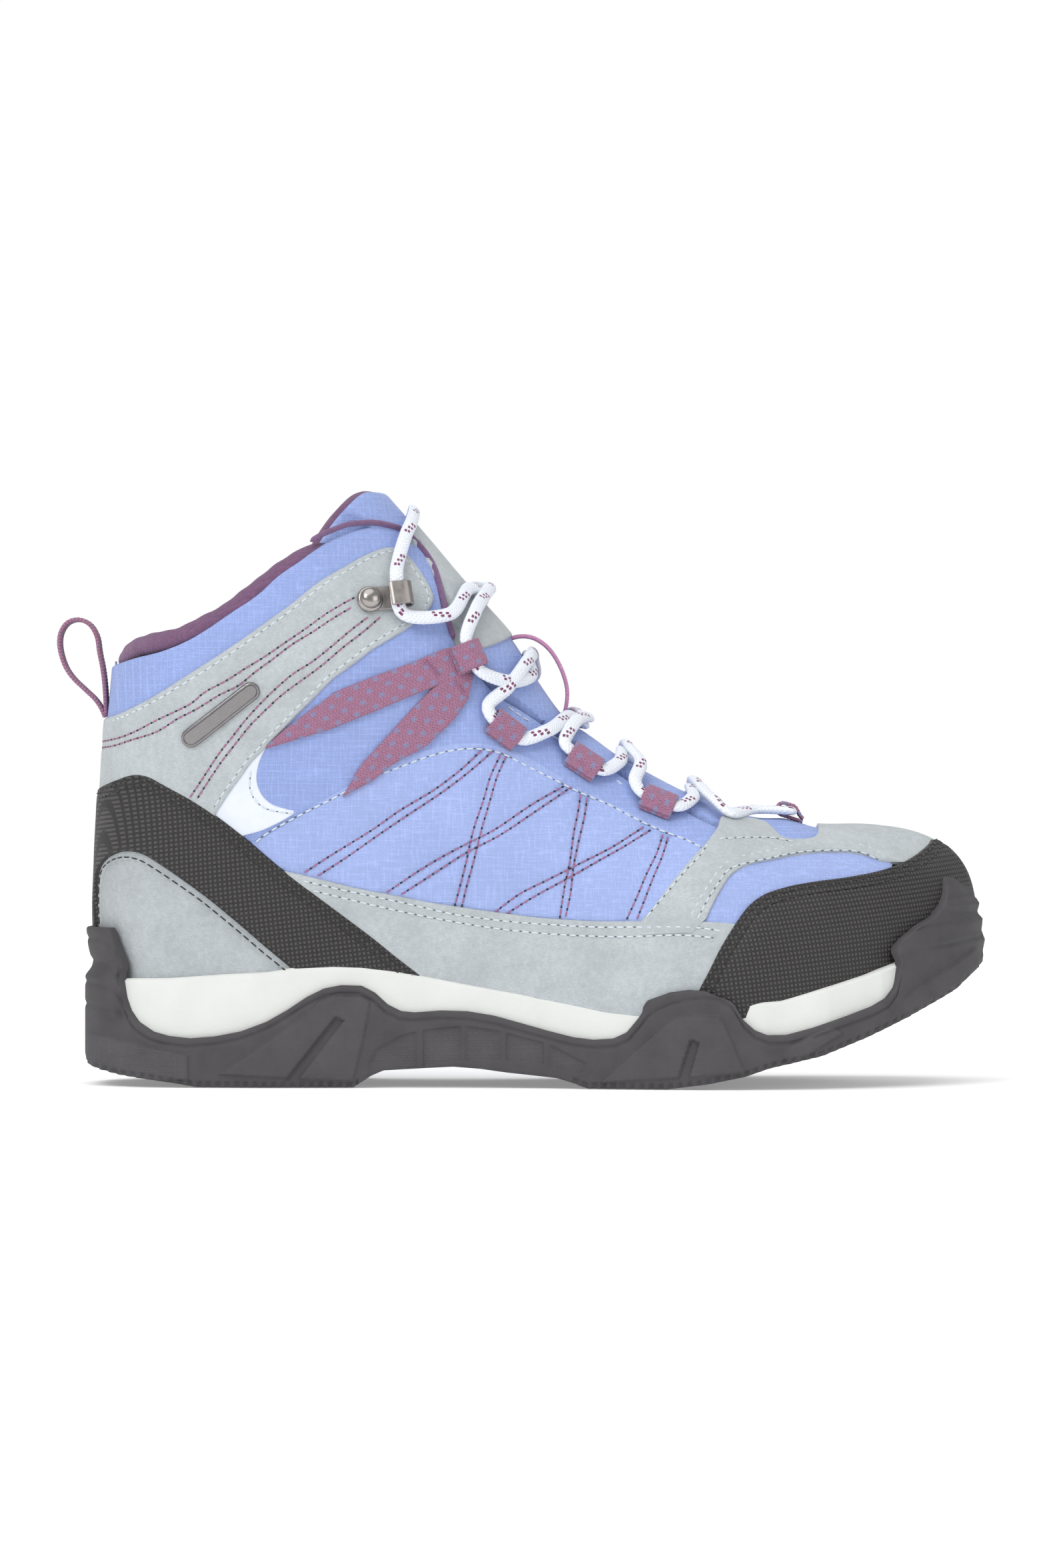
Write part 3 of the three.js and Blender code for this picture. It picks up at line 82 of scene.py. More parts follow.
ANKLE_BOT = [[62.2,141.3],[56.6,137.8],[51.5,134.7],[45.3,130],[39.1,125.5],[34.6,120.9],[28.8,115.2],[24.7,111],[21,107.3],[17.5,103.4],[14.4,100.3],[11.3,96],[7.8,91.3],[5.2,87.3],[3.4,84.6]]
ACCENT = [[18.5,104.4],[16.5,99.7],[15.9,94.5],[17.3,90.4],[20.2,87.5],[24.7,85.9],[27.6,85],[18.5,79.6],[11.6,77.5],[3.4,84.4],[5.2,87.3],[7.8,91.3],[11.3,96],[14.4,100.3]]
TONGUE_TOP = [[31.3,165.4],[33,168.3],[39.1,176.8],[43.3,181.9],[46.4,185],[49,186.6],[52.5,186.9],[60,186.5]]
TONGUE_LOW = [[154.5,78.5],[133.9,84.5],[113.3,93.5],[88.6,106.5],[68,125.5],[51.5,141.9],[37.1,156.8]]
STRAP_UP = [[18.5,105.3],[24.7,110.6],[33,116.8],[40.2,122],[51.5,126.5],[63.9,131],[72.1,134.5],[79.0,136.6],[82.2,128.2],[80.3,127.1],[72.1,124],[63.9,120.9],[51.5,115.6],[39.1,110.6],[26.8,106.9],[18.5,104.4]]
STRAP_LOW = [[42.2,89.6],[47.4,99.1],[55.6,107.9],[63.9,117.2],[70,123.4],[76.3,127.5],[82.0,127.5],[80.3,119.3],[76.2,113.1],[68,105.3],[57.7,99.7],[51.4,94.6]]
BADGE = [[-4.1,107.9],[14,122]]
MID_TOP = [[-42,33.1],[-31.3,33.2],[-12.4,33.6],[4.1,34.8],[18.5,35.6],[26.2,36.9],[39.1,37.5],[47.4,37.3],[55.6,36.3],[63.9,34.8],[80.3,31.7],[92.7,29.5],[111.2,26.2],[121.5,24.3],[131.8,22.9],[142.1,22.4],[152.4,23.3],[162.7,26],[177.2,27.2],[193.6,31.7],[203.9,34.8],[217.3,39.5],[224.5,42],[234.6,44.7],[250,46]]
MID_BOT = [[-42,13],[0,12.5],[60,17],[90,16],[119,12.5],[150,13],[180,15],[205,22],[225,33],[236,40],[250,42]]
OUT_TOP = [[-45,49],[-31.3,49],[-30.3,47],[-29.2,42.5],[-28,36.5],[-27,31],[-26.3,27.5],[-24.8,23.5],[-22.3,20],[-17.7,17],[-12.8,15.7],[-6.2,15],[2.1,15.7],[10.3,17.3],[18.5,20.4],[24.7,23.9],[30.9,28],[36,30.5],[41.2,31.5],[47.4,31.3],[51.5,29.2],[55.6,25.5],[59.7,23.5],[63.9,23.1],[72.1,23.7],[80.3,23.5],[88.6,22.2],[96.8,20],[105.1,17.7],[113.3,15.7],[119.5,15],[125.7,15.4],[129.8,17.3],[133.3,21.4],[136,24.9],[139.1,27.2],[146.3,29.7],[152.4,30.5],[157.6,30.1],[161.7,27.6],[165.4,21.4],[168.9,18.3],[173,16.7],[179.2,16.7],[187.5,18.8],[197.8,22.2],[206,25.1],[210.5,27.6],[213.2,31.1],[214.7,39],[217.9,46],[221.4,49.5],[226.6,52.5],[229.7,55.6],[232.2,58.7],[234.6,63.4],[236,64.6],[250,64.6]]
BOTTOM = [[-45,9],[-38.7,7.4],[-35,5.4],[-27.8,3.7],[-18.5,2.3],[-10.3,1.2],[-3,0],[45.3,0],[50.7,3.5],[54.6,5.2],[68,6],[76.2,6.4],[84.5,5.8],[92.7,4.7],[108.2,3.1],[112.3,1.9],[117.4,0],[142.1,0],[154.5,1.6],[165.8,3.9],[173,6.4],[189.5,10.1],[203.9,15.7],[214.2,20.4],[224.5,25.5],[232.8,29.7],[240,35.8],[243.1,37.9],[250,44]]
TOE_NOSE = [[236,64.6],[238.9,60.5],[241.6,56],[240.9,53.5],[242.6,51.2],[242.3,47.5],[243.4,44.6],[242.7,41],[243.1,37.9]]
LIN_TOP = [[-60, 134], [-30.5, 134.9], [-24.7, 138.8], [-10.3, 141.7], [0, 145.8], [9.3, 151.2], [18.5, 158.6], [27.8, 165.2], [33, 168.3], [40, 168.5], [50, 168], [56, 168.8]]
ST = np.array(ST, float)
NST = len(ST)
UPPER_INSET = 4.5
BADGE_R = 2.95

# ------------------------------------------------------------------ surface maths
def tab(T, x):
    T = np.asarray(T, float)
    return np.interp(x, T[:, 0], T[:, 1])
def sm(t):
    t = np.clip(t, 0, 1)
    return t * t * (3 - 2 * t)
def lerp(a, b, t):
    return a + (b - a) * t
def SF(t, p=2.2):
    t = np.clip(t, 0, 1)
    return (1 - (1 - t) ** p) ** (1 / p)
def yc(x):
    return 9 * np.clip((np.asarray(x, float) - 100) / 139, 0, 1.1) ** 1.2
def station(u):
    u = np.clip(np.asarray(u, float), 0, NST - 1)
    i = np.minimum(NST - 2, np.floor(u).astype(int))
    t = (u - i)[..., None]
    a, b, c, d = ST[np.maximum(0, i - 1)], ST[i], ST[i + 1], ST[np.minimum(NST - 1, i + 2)]
    return 0.5 * (2 * b + (c - a) * t + (2 * a - 5 * b + 4 * c - d) * t * t + (3 * b - a - 3 * c + d) * t ** 3)
def smooth_table(T, w):
    T = np.asarray(T, float)
    x = np.linspace(T[0, 0], T[-1, 0], 1201)
    y = np.interp(x, T[:, 0], T[:, 1])
    h = x[1] - x[0]
    n = max(1, int(3 * w / h))
    k = np.exp(-0.5 * (np.arange(-n, n + 1) * h / w) ** 2)
    k /= k.sum()
    yp = np.concatenate([2 * y[0] - y[1:n + 1][::-1], y, 2 * y[-1] - y[-n - 1:-1][::-1]])
    return np.stack([x, np.convolve(yp, k, "valid")], 1)
HLs, HMs, HSs = smooth_table(HL, 0.012), smooth_table(HM, 0.012), smooth_table(HS, 3.0)
TIPs, BACKs = smooth_table(TIPX, 1.2), smooth_table(BACKX, 3.0)
def half_width(x, z, side):
    s = (x + 34) / (tab(TIPs, z) + 1 + 34)
    foot = np.where(side < 0, tab(HLs, s), tab(HMs, s)) - np.where(s < 0.97, UPPER_INSET, UPPER_INSET * (1 - s) / 0.03)
    return lerp(np.maximum(foot, 0), tab(HSs, z), sm((z - 45) / 45) * sm((175 - x) / 60))
def bulge(u, tau, side):
    s = station(u)
    x, z = lerp(s[..., 2], s[..., 0], tau), lerp(s[..., 3], s[..., 1], tau)
    L = np.hypot(s[..., 0] - s[..., 2], s[..., 1] - s[..., 3])
    top = SF((1 - tau) * L / s[..., 4])
    back = SF((x - tab(BACKs, z)) / 33)
    return x, z, half_width(x, z, side) * top * back
UMAX = 25.0
UG = np.linspace(0, UMAX, int(UMAX * 12) + 1)
CG = np.linspace(0, 1, 121)
def tau_of(c):
    return np.cos(np.pi * c / 2) ** 2
_U, _C = np.meshgrid(UG, CG, indexing="ij")
PG = []
for sd in (-1, 1):
    x, z, g = bulge(_U, tau_of(_C), np.full(_U.shape, sd))
    PG.append(np.stack([x, yc(x) + sd * g, z], -1))
AG = []
for k in (0, 1):
    d = np.linalg.norm(np.diff(PG[k], axis=1), axis=-1)
    AG.append(np.concatenate([np.zeros((len(UG), 1)), np.cumsum(d, 1)], 1))
VG = np.linspace(0, 1, 161)
CI = [np.stack([np.interp(VG, A[i] / A[i, -1], CG) for i in range(len(UG))]) for A in AG]
full = np.concatenate([PG[0][:, ::-1], PG[1][:, 1:]], 1)
NG = np.cross(np.gradient(full, axis=0), np.gradient(full, axis=1))
if NG[14 * 12, len(CG) - 1, 2] < 0:
    NG = -NG
NG /= np.linalg.norm(NG, axis=-1, keepdims=True) + 1e-12
bs = UG <= 8.6
avg = NG[bs, 0] + NG[bs, -1] + np.array([-1e-3, 0, 0])
avg /= np.linalg.norm(avg, axis=-1, keepdims=True)
NG[bs, 0] = avg
NG[bs, -1] = avg
NS = [NG[:, :len(CG)][:, ::-1], NG[:, len(CG) - 1:]]
def bil(T, a, b):
    """value of a table at fractional indices"""
    a = np.clip(a, 0, T.shape[0] - 1.000001)
    b = np.clip(b, 0, T.shape[1] - 1.000001)
    i, j = a.astype(int), b.astype(int)
    f, g = a - i, b - j
    if T.ndim == 3:
        f, g = f[..., None], g[..., None]
    return (T[i, j] * (1 - f) + T[i + 1, j] * f) * (1 - g) + (T[i, j + 1] * (1 - f) + T[i + 1, j + 1] * f) * g
def at(u, c, side, off=0.0):
    """points of the outer textile face moved outward by off, and the normals there"""
    u, c = np.asarray(u, float), np.asarray(c, float)
    side = np.broadcast_to(side, u.shape)
    x, z, g = bulge(u, tau_of(c), side)
    P = np.stack([x, yc(x) + side * g, z], -1)
    n0, n1 = bil(NS[0], u * 12, c * 120), bil(NS[1], u * 12, c * 120)
    N = np.where((side < 0)[..., None], n0, n1)
    N = N / (np.linalg.norm(N, axis=-1, keepdims=True) + 1e-12)
    return P + N * np.broadcast_to(off, u.shape)[..., None], N
_U2 = np.linspace(0, UMAX, 251)
_S2 = station(_U2)
_L2 = np.hypot(_S2[:, 0] - _S2[:, 2], _S2[:, 1] - _S2[:, 3])
def find_u(X, Z):
    X, Z = np.asarray(X, float).ravel(), np.asarray(Z, float).ravel()
    out = np.zeros(len(X))
    for a in range(0, len(X), 6000):
        x, z = X[a:a + 6000, None], Z[a:a + 6000, None]
        V = ((_S2[:, 0] - _S2[:, 2]) * (z - _S2[:, 3]) - (_S2[:, 1] - _S2[:, 3]) * (x - _S2[:, 2])) / _L2
        s = V > 0
        ch = s[:, 1:] != s[:, :-1]
        ok = ch.any(1)
        i = ch.argmax(1)
        lo, hi, sl = _U2[i], _U2[np.minimum(i + 1, 250)], s[np.arange(len(s)), i]
        for _ in range(16):
            m = (lo + hi) / 2
            t = station(m)
            v = (t[:, 0] - t[:, 2]) * (z[:, 0] - t[:, 3]) - (t[:, 1] - t[:, 3]) * (x[:, 0] - t[:, 2]) > 0
            same = v == sl
            lo, hi = np.where(same, m, lo), np.where(same, hi, m)
        edge = np.where(np.abs(V[:, 0]) < np.abs(V[:, -1]), 0.0, UMAX)
        out[a:a + 6000] = np.where(ok, (lo + hi) / 2, edge)
    return out
def uc_of(X, Z):
    u = find_u(X, Z)
    s = station(u)
    L2 = (s[:, 0] - s[:, 2]) ** 2 + (s[:, 1] - s[:, 3]) ** 2
    tau = np.clip(((X - s[:, 2]) * (s[:, 0] - s[:, 2]) + (Z - s[:, 3]) * (s[:, 1] - s[:, 3])) / L2, 0, 1)
    return u, 2 / np.pi * np.arccos(np.sqrt(tau))
def chart(u, c):
    s = station(u)
    F, R = s[..., :2], s[..., 2:4]
    D = R - F
    D = D / np.linalg.norm(D, axis=-1, keepdims=True)
    return F + D * bil(AG[0], np.asarray(u) * 12, np.asarray(c) * 120)[..., None]
def unchart(P):
    u = find_u(P[:, 0], P[:, 1])
    s = station(u)
    D = s[:, 2:4] - s[:, :2]
    D /= np.linalg.norm(D, axis=-1, keepdims=True)
    Y = ((P - s[:, :2]) * D).sum(1)
    Q = np.interp(u, UG, AG[0][:, -1])
    return u, bil(CI[0], u * 12, np.clip(Y / Q, 0, 1) * 160)
def w_of(u, c):
    s = station(u)
    return (1 - tau_of(c)) * np.hypot(s[..., 0] - s[..., 2], s[..., 1] - s[..., 3])
def xz_of(u, c):
    s = station(u)
    t = tau_of(c)
    return lerp(s[..., 2], s[..., 0], t), lerp(s[..., 3], s[..., 1], t)
FRONT = station(np.linspace(0, UMAX, 1001))
def ridge_u(x, z):
    return float(np.linspace(0, UMAX, 1001)[np.argmin((FRONT[:, 0] - x) ** 2 + (FRONT[:, 1] - z) ** 2)])
def rear_u(x, z):
    return float(np.linspace(0, UMAX, 1001)[np.argmin((FRONT[:, 2] - x) ** 2 + (FRONT[:, 3] - z) ** 2)])

# ------------------------------------------------------------------ point sets
def crom(P, n=8):
    """smooth line through points"""
    P = np.asarray(P, float)
    out = []
    for i in range(len(P) - 1):
        a, b, c, d = P[max(0, i - 1)], P[i], P[i + 1], P[min(len(P) - 1, i + 2)]
        if i == 0:
            a = 2 * b - c
        if i + 2 > len(P) - 1:
            d = 2 * c - b
        tk = [0.0]
        for p, q in ((a, b), (b, c), (c, d)):
            tk.append(tk[-1] + max(np.linalg.norm(q - p), 1e-6) ** 0.5)
        t0, t1, t2, t3 = tk
        for t in np.linspace(t1, t2, n, endpoint=False):
            A1 = (t1 - t) / (t1 - t0) * a + (t - t0) / (t1 - t0) * b
            A2 = (t2 - t) / (t2 - t1) * b + (t - t1) / (t2 - t1) * c
            A3 = (t3 - t) / (t3 - t2) * c + (t - t2) / (t3 - t2) * d
            B1 = (t2 - t) / (t2 - t0) * A1 + (t - t0) / (t2 - t0) * A2
            B2 = (t3 - t) / (t3 - t1) * A2 + (t - t1) / (t3 - t1) * A3
            out.append((t2 - t) / (t2 - t1) * B1 + (t - t1) / (t2 - t1) * B2)
    out.append(P[-1])
    return np.array(out)
def resample(P, h, *more):
    P = np.asarray(P, float)
    s = np.concatenate([[0], np.cumsum(np.linalg.norm(np.diff(P, axis=0), axis=1))])
    n = max(1, int(round(s[-1] / h)))
    t = np.linspace(0, s[-1], n + 1)
    f = lambda Q: np.stack([np.interp(t, s, Q[:, k]) for k in range(Q.shape[1])], 1)
    return (f(P), *[f(np.asarray(m, float)) for m in more]) if more else f(P)
def seg_dist(P, A, B):
    """distance of points to the nearest of the segments A-B"""
    best = np.full(len(P), 1e9)
    for i in range(0, len(A), 64):
        a, b = A[None, i:i + 64], B[None, i:i + 64]
        d = b - a
        t = np.clip(((P[:, None] - a) * d).sum(-1) / ((d * d).sum(-1) + 1e-12), 0, 1)
        q = a + d * t[..., None]
        best = np.minimum(best, np.sqrt(((P[:, None] - q) ** 2).sum(-1)).min(1))
    return best
def inside(P, poly):
    x, y = P[:, 0], P[:, 1]
    r = np.zeros(len(P), bool)
    a = poly
    b = np.roll(poly, -1, 0)
    for (x0, y0), (x1, y1) in zip(a, b):
        if y0 == y1:
            continue
        hit = ((y0 > y) != (y1 > y)) & (x < (x1 - x0) * (y - y0) / (y1 - y0) + x0)
        r ^= hit
    return r
def hexes(lo, hi, h):
    xs = np.arange(lo[0], hi[0], h)
    ys = np.arange(lo[1], hi[1], h * 0.866)
    X, Y = np.meshgrid(xs, ys)
    X = X + (np.arange(len(ys)) % 2)[:, None] * h / 2
    return np.stack([X.ravel(), Y.ravel()], 1)
def cdt(pts, nb):
    v, e, f, ov, _, _ = delaunay_2d_cdt([Vector(p) for p in pts], [], [list(range(nb))], 1, 1e-5)
    orig = [o[0] if o else -1 for o in ov]
    return np.array([tuple(p) for p in v]), np.array([t for t in f if len(t) == 3]), np.array(orig)

# ------------------------------------------------------------------ meshes
M = {}
def mesh(name, V, F, mat, body, rep=(), attr=None, sharp=42):
    me = bpy.data.meshes.new(name)
    V = np.asarray(V, float) * 0.001
    me.from_pydata(V.tolist(), [], [list(map(int, f)) for f in F])
    me.validate()
    me.update()
    if attr is not None and len(attr) == len(me.vertices):
        a = me.attributes.new("wv", "FLOAT_VECTOR", "POINT")
        a.data.foreach_set("vector", np.asarray(attr, np.float32).ravel())
    me.polygons.foreach_set("use_smooth", [True] * len(me.polygons))
    me.set_sharp_from_angle(angle=math.radians(sharp))
    o = bpy.data.objects.new(name, me)
    bpy.context.scene.collection.objects.link(o)
    me.materials.append(M[mat])
    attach(o, body)
    if rep:
        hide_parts(*rep)
    return o
def volume_sign(V, F):
    V = np.asarray(V)
    F = np.asarray(F)
    a, b, c = V[F[:, 0]], V[F[:, 1]], V[F[:, 2]]
    return np.einsum("ij,ij->i", a, np.cross(b, c)).sum()
def edge_keys(F):
    E = np.concatenate([F[:, [0, 1]], F[:, [1, 2]], F[:, [2, 0]]])
    return E
def boundary(F):
    E = edge_keys(F)
    n = F.max() + 1
    k = E[:, 0].astype(np.int64) * n + E[:, 1]
    r = E[:, 1].astype(np.int64) * n + E[:, 0]
    return E[~np.isin(k, r)]
def curve_xz(pts, smoothed=True, h=0.9):
    P = crom(pts, 8) if smoothed and len(pts) > 2 else np.asarray(pts, float)
    P = resample(P, 0.4)
    u, c = uc_of(P[:, 0], P[:, 1])
    return u, c
def half_panel(segs, h=1.7, hb=1.1, rings=(0.3, 0.8, 1.6)):
    """a panel's outline on one side, as (kind, data): e edge, h hidden edge, r ridge seam, b back seam, c line along the lower edge"""
    U, C, kind = [], [], []
    for kd, data in segs:
        if kd in "ehE":
            u, c = curve_xz(data, kd == "e")
        elif kd == "r":
            u = np.linspace(data[0], data[1], 400)
            c = np.zeros(400)
        elif kd in "bc":
            u = np.linspace(data[0], data[1], 400)
            c = np.ones(400)
        elif kd == "u":
            c = np.linspace(data[1], data[2], 400)
            u = np.full(400, float(data[0]))
        if kd == "b":
            P3 = at(u, c, -1)[0]
            _, uc = resample(P3, hb, np.stack([u, c], 1))
        else:
            _, uc = resample(chart(u, c), hb, np.stack([u, c], 1))
        U.append(uc[:, 0]); C.append(uc[:, 1])
        kind += [kd] * len(uc)
    U, C, kind = np.concatenate(U), np.concatenate(C), np.array(kind)
    P = chart(U, C)
    keep = np.linalg.norm(P - np.roll(P, 1, 0), axis=1) > 0.12
    U, C, kind, P = U[keep], C[keep], kind[keep], P[keep]
    nb = len(P)
    if ((P[:, 0] * np.roll(P[:, 1], -1) - np.roll(P[:, 0], -1) * P[:, 1]).sum()) < 0:
        U, C, kind, P = U[::-1], C[::-1], kind[::-1], P[::-1]
    nx = np.roll(P, -1, 0)
    isE = (kind == "e") | (kind == "E")
    segE = isE & np.roll(isE, -1)
    if not segE.any():
        segE = isE
    ring = []
    T = nx - np.roll(P, 1, 0)
    T /= np.linalg.norm(T, axis=1, keepdims=True) + 1e-9
    inw = np.stack([-T[:, 1], T[:, 0]], 1)
    for k, r in enumerate(rings):
        q = P[isE] + inw[isE] * r
        if k % 2:
            q = q[::1]
        ok = inside(q, P) & (seg_dist(q, P, nx) > r * 0.86)
        ring.append(q[ok])
    g = hexes(P.min(0), P.max(0), h)
    g = g[inside(g, P)]
    dE = seg_dist(g, P[segE], nx[segE]) if segE.any() else np.full(len(g), 99.0)
    dA = seg_dist(g, P, nx)
    g = g[(dE > rings[-1] + 0.45 * h) & (dA > 0.5 * h)] if rings else g[dA > 0.5 * h]
    pts = np.concatenate([P, *ring, g])
    v, f, orig = cdt(pts, nb)
    u, c = unchart(v)
    isb = (orig >= 0) & (orig < nb)
    u[isb], c[isb] = U[orig[isb]], C[orig[isb]]
    d = seg_dist(v, P[segE], nx[segE]) if segE.any() else np.full(len(v), 99.0)
    seam = np.zeros(len(v), bool)
    kk = kind[np.clip(orig, 0, nb - 1)]
    seam[isb] = ((kk[isb] == "r") | (kk[isb] == "b"))
    seam |= isb & (((c < 1e-6) & np.isin("r", kind)) | ((c > 1 - 1e-6) & (u <= 8.01) & np.isin("b", kind)))
    return {"u": u, "c": c, "f": f, "d": d, "seam": seam}
def prof(d, r):
    t = np.clip(d / r, 0, 1)
    return np.sqrt(1 - (1 - t) ** 2)
def build(hp, sides, top, bot):
    """closed solid from a half panel on one side or on both, welded along its seams; top and bot give the offsets"""
    Vt, Vb, F, A, n = [], [], [], [], 0
    remap_prev = None
    for sd in sides:
        u, c, d = hp["u"], hp["c"], hp["d"]
        x, z = xz_of(u, c)
        to = top(u, c, d, x, z, sd)
        bo = bot(u, c, d, x, z, sd)
        Pt, N = at(u, c, sd, to)
        Pb, _ = at(u, c, sd, bo)
        f = hp["f"].copy()
        fn = np.cross(Pt[f[:, 1]] - Pt[f[:, 0]], Pt[f[:, 2]] - Pt[f[:, 0]])
        if (fn * N[f[:, 0]]).sum() < 0:
            f = f[:, ::-1]
        idx = np.arange(len(u)) + n
        if remap_prev is not None:
            idx = np.where(hp["seam"], remap_prev, np.cumsum(~hp["seam"]) - 1 + n)
            sel = ~hp["seam"]
            Vt.append(Pt[sel]); Vb.append(Pb[sel]); A.append(np.stack([x, z, Pt[:, 1]], 1)[sel])
            n += int(sel.sum())
        else:
            Vt.append(Pt); Vb.append(Pb); A.append(np.stack([x, z, Pt[:, 1]], 1))
            n += len(u)
        remap_prev = idx
        F.append(idx[f])
    Vt, Vb, A, F = np.concatenate(Vt), np.concatenate(Vb), np.concatenate(A), np.concatenate(F)
    F = F[(F[:, 0] != F[:, 1]) & (F[:, 1] != F[:, 2]) & (F[:, 0] != F[:, 2])]
    E = boundary(F)
    nt = len(Vt)
    faces = [*F.tolist(), *(F[:, ::-1] + nt).tolist(), *[[b, a, a + nt, b + nt] for a, b in E.tolist()]]
    return np.concatenate([Vt, Vb]), faces, np.concatenate([A, A])
def waves(x, y, seed, scale, n=5):
    r = np.random.RandomState(seed)
    v = np.zeros_like(np.asarray(x, float))
    for _ in range(n):
        a, k, ph = r.uniform(0, math.pi), r.uniform(0.6, 1.5) * 2 * math.pi / scale, r.uniform(0, 6.28)
        v += np.sin((x * math.cos(a) + y * math.sin(a)) * k + ph)
    return v / n

# ------------------------------------------------------------------ materials
class Mat:
    def __init__(self, name, base, rough=0.8, metal=0.0, spec=0.4, sheen=0.0, sheen_rough=0.5, coat=0.0, tint=(1, 1, 1)):
        self.m = bpy.data.materials.new(name)
        self.m.use_nodes = True
        self.t = self.m.node_tree
        self.b = next(n for n in self.t.nodes if n.type == "BSDF_PRINCIPLED")
        self.base = tuple(base)
        self.b.inputs["Base Color"].default_value = (*base, 1)
        self.b.inputs["Roughness"].default_value = rough
        self.b.inputs["Metallic"].default_value = metal
        self.b.inputs["Specular IOR Level"].default_value = spec
        self.b.inputs["Sheen Weight"].default_value = sheen
        self.b.inputs["Sheen Roughness"].default_value = sheen_rough
        self.b.inputs["Sheen Tint"].default_value = (*tint, 1)
        self.b.inputs["Coat Weight"].default_value = coat
        M[name] = self.m
    def put(self, node, i, v):
        if isinstance(v, bpy.types.NodeSocket):
            self.t.links.new(v, node.inputs[i])
        else:
            node.inputs[i].default_value = v
    def math(self, op, a, b=0.0, c=0.0, clamp=False):
        n = self.t.nodes.new("ShaderNodeMath")
        n.operation, n.use_clamp = op, clamp
        for i, v in enumerate((a, b, c)):
            self.put(n, i, v)
        return n.outputs[0]
    def obj(self):
        n = self.t.nodes.new("ShaderNodeTexCoord")
        v = self.t.nodes.new("ShaderNodeVectorMath")
        v.operation = "SCALE"
        self.t.links.new(n.outputs["Object"], v.inputs[0])
        v.inputs["Scale"].default_value = 1000
        return v.outputs[0]
    def wv(self):
        n = self.t.nodes.new("ShaderNodeAttribute")
        n.attribute_name = "wv"
        return n.outputs["Vector"]
    def xyz(self, v):
        n = self.t.nodes.new("ShaderNodeSeparateXYZ")
        self.t.links.new(v, n.inputs[0])
        return n.outputs
    def comb(self, a, b, c=0.0):
        n = self.t.nodes.new("ShaderNodeCombineXYZ")
        for i, v in enumerate((a, b, c)):
            self.put(n, i, v)
        return n.outputs[0]
    def noise(self, v, scale, detail=2.0, rough=0.5):
        n = self.t.nodes.new("ShaderNodeTexNoise")
        self.t.links.new(v, n.inputs["Vector"])
        n.inputs["Scale"].default_value = scale
        n.inputs["Detail"].default_value = detail
        n.inputs["Roughness"].default_value = rough
        return n.outputs["Fac"]
    def ramp(self, f, lo, hi, a=0.0, b=1.0):
        n = self.t.nodes.new("ShaderNodeMapRange")
        n.interpolation_type = "SMOOTHSTEP"
        for i, v in enumerate((f, lo, hi, a, b)):
            self.put(n, i, v)
        return n.outputs[0]
    def mix(self, f, A, B):
        n = self.t.nodes.new("ShaderNodeMix")
        n.data_type = "RGBA"
        self.put(n, 0, f)
        for i, v in ((6, A), (7, B)):
            self.put(n, i, (*v, 1) if isinstance(v, tuple) else v)
        return n.outputs[2]
    def colour(self, c):
        self.t.links.new(c, self.b.inputs["Base Color"])
        return self
    def rough(self, r):
        self.t.links.new(r, self.b.inputs["Roughness"])
        return self
    def bump(self, h, mm, strength=1.0):
        n = self.t.nodes.new("ShaderNodeBump")
        n.inputs["Strength"].default_value = strength
        n.inputs["Distance"].default_value = mm * 0.001
        self.t.links.new(h, n.inputs["Height"])
        self.t.links.new(n.outputs[0], self.b.inputs["Normal"])
        return self
    def sin(self, x, period, phase=0.0):
        return self.math("SINE", self.math("MULTIPLY_ADD", x, 2 * math.pi / period, phase))
    def unit(self, s):
        return self.math("MULTIPLY_ADD", s, 0.5, 0.5)
def tone(c, k):
    return tuple(min(1.0, v * k) for v in c)

def cloth(name, base, grid, twill, sheen=0.15, mesh_amt=0.5):
    m = Mat(name, base, 0.88, spec=0.22, sheen=sheen, sheen_rough=0.4)
    p = m.obj()
    x, y, z = m.xyz(p)[:3]
    sv = m.noise(m.comb(m.math("MULTIPLY", x, 1.9), m.math("MULTIPLY", z, 0.16), y), 1.0, 1.5)
    sh = m.noise(m.comb(m.math("MULTIPLY", x, 0.16), m.math("MULTIPLY", z, 1.9), m.math("ADD", y, 31.0)), 1.0, 1.5)
    threads = m.math("ADD", m.ramp(sv, 0.46, 0.72), m.ramp(sh, 0.46, 0.72))
    tw = m.unit(m.sin(m.math("MULTIPLY_ADD", z, 0.8, m.math("MULTIPLY", x, 1.0)), twill))
    gx = m.ramp(m.sin(m.math("ADD", x, m.math("MULTIPLY", y, 0.18)), grid), 0.80, 0.97)
    gz = m.ramp(m.sin(z, grid), 0.80, 0.97)
    g = m.math("MAXIMUM", gx, gz)
    big = m.noise(p, 0.045, 3.0)
    f = m.math("ADD", m.math("MULTIPLY", threads, 0.30), m.math("MULTIPLY", tw, 0.22))
    f = m.math("ADD", f, m.math("MULTIPLY", g, 0.34 * mesh_amt))
    f = m.math("ADD", f, m.math("MULTIPLY_ADD", big, 0.5, -0.25), clamp=True)
    m.colour(m.mix(f, tone(base, 0.86), tone(base, 1.22)))
    h = m.math("ADD", m.math("MULTIPLY", tw, 0.5), m.math("ADD", m.math("MULTIPLY", g, 0.6), m.math("MULTIPLY", threads, 0.35)))
    m.bump(h, 0.11)
cloth("blue_ripstop", (0.355, 0.44, 0.76), 2.1, 0.62, mesh_amt=0.55)
cloth("blue_mesh", (0.30, 0.385, 0.70), 1.9, 0.55, mesh_amt=1.0)

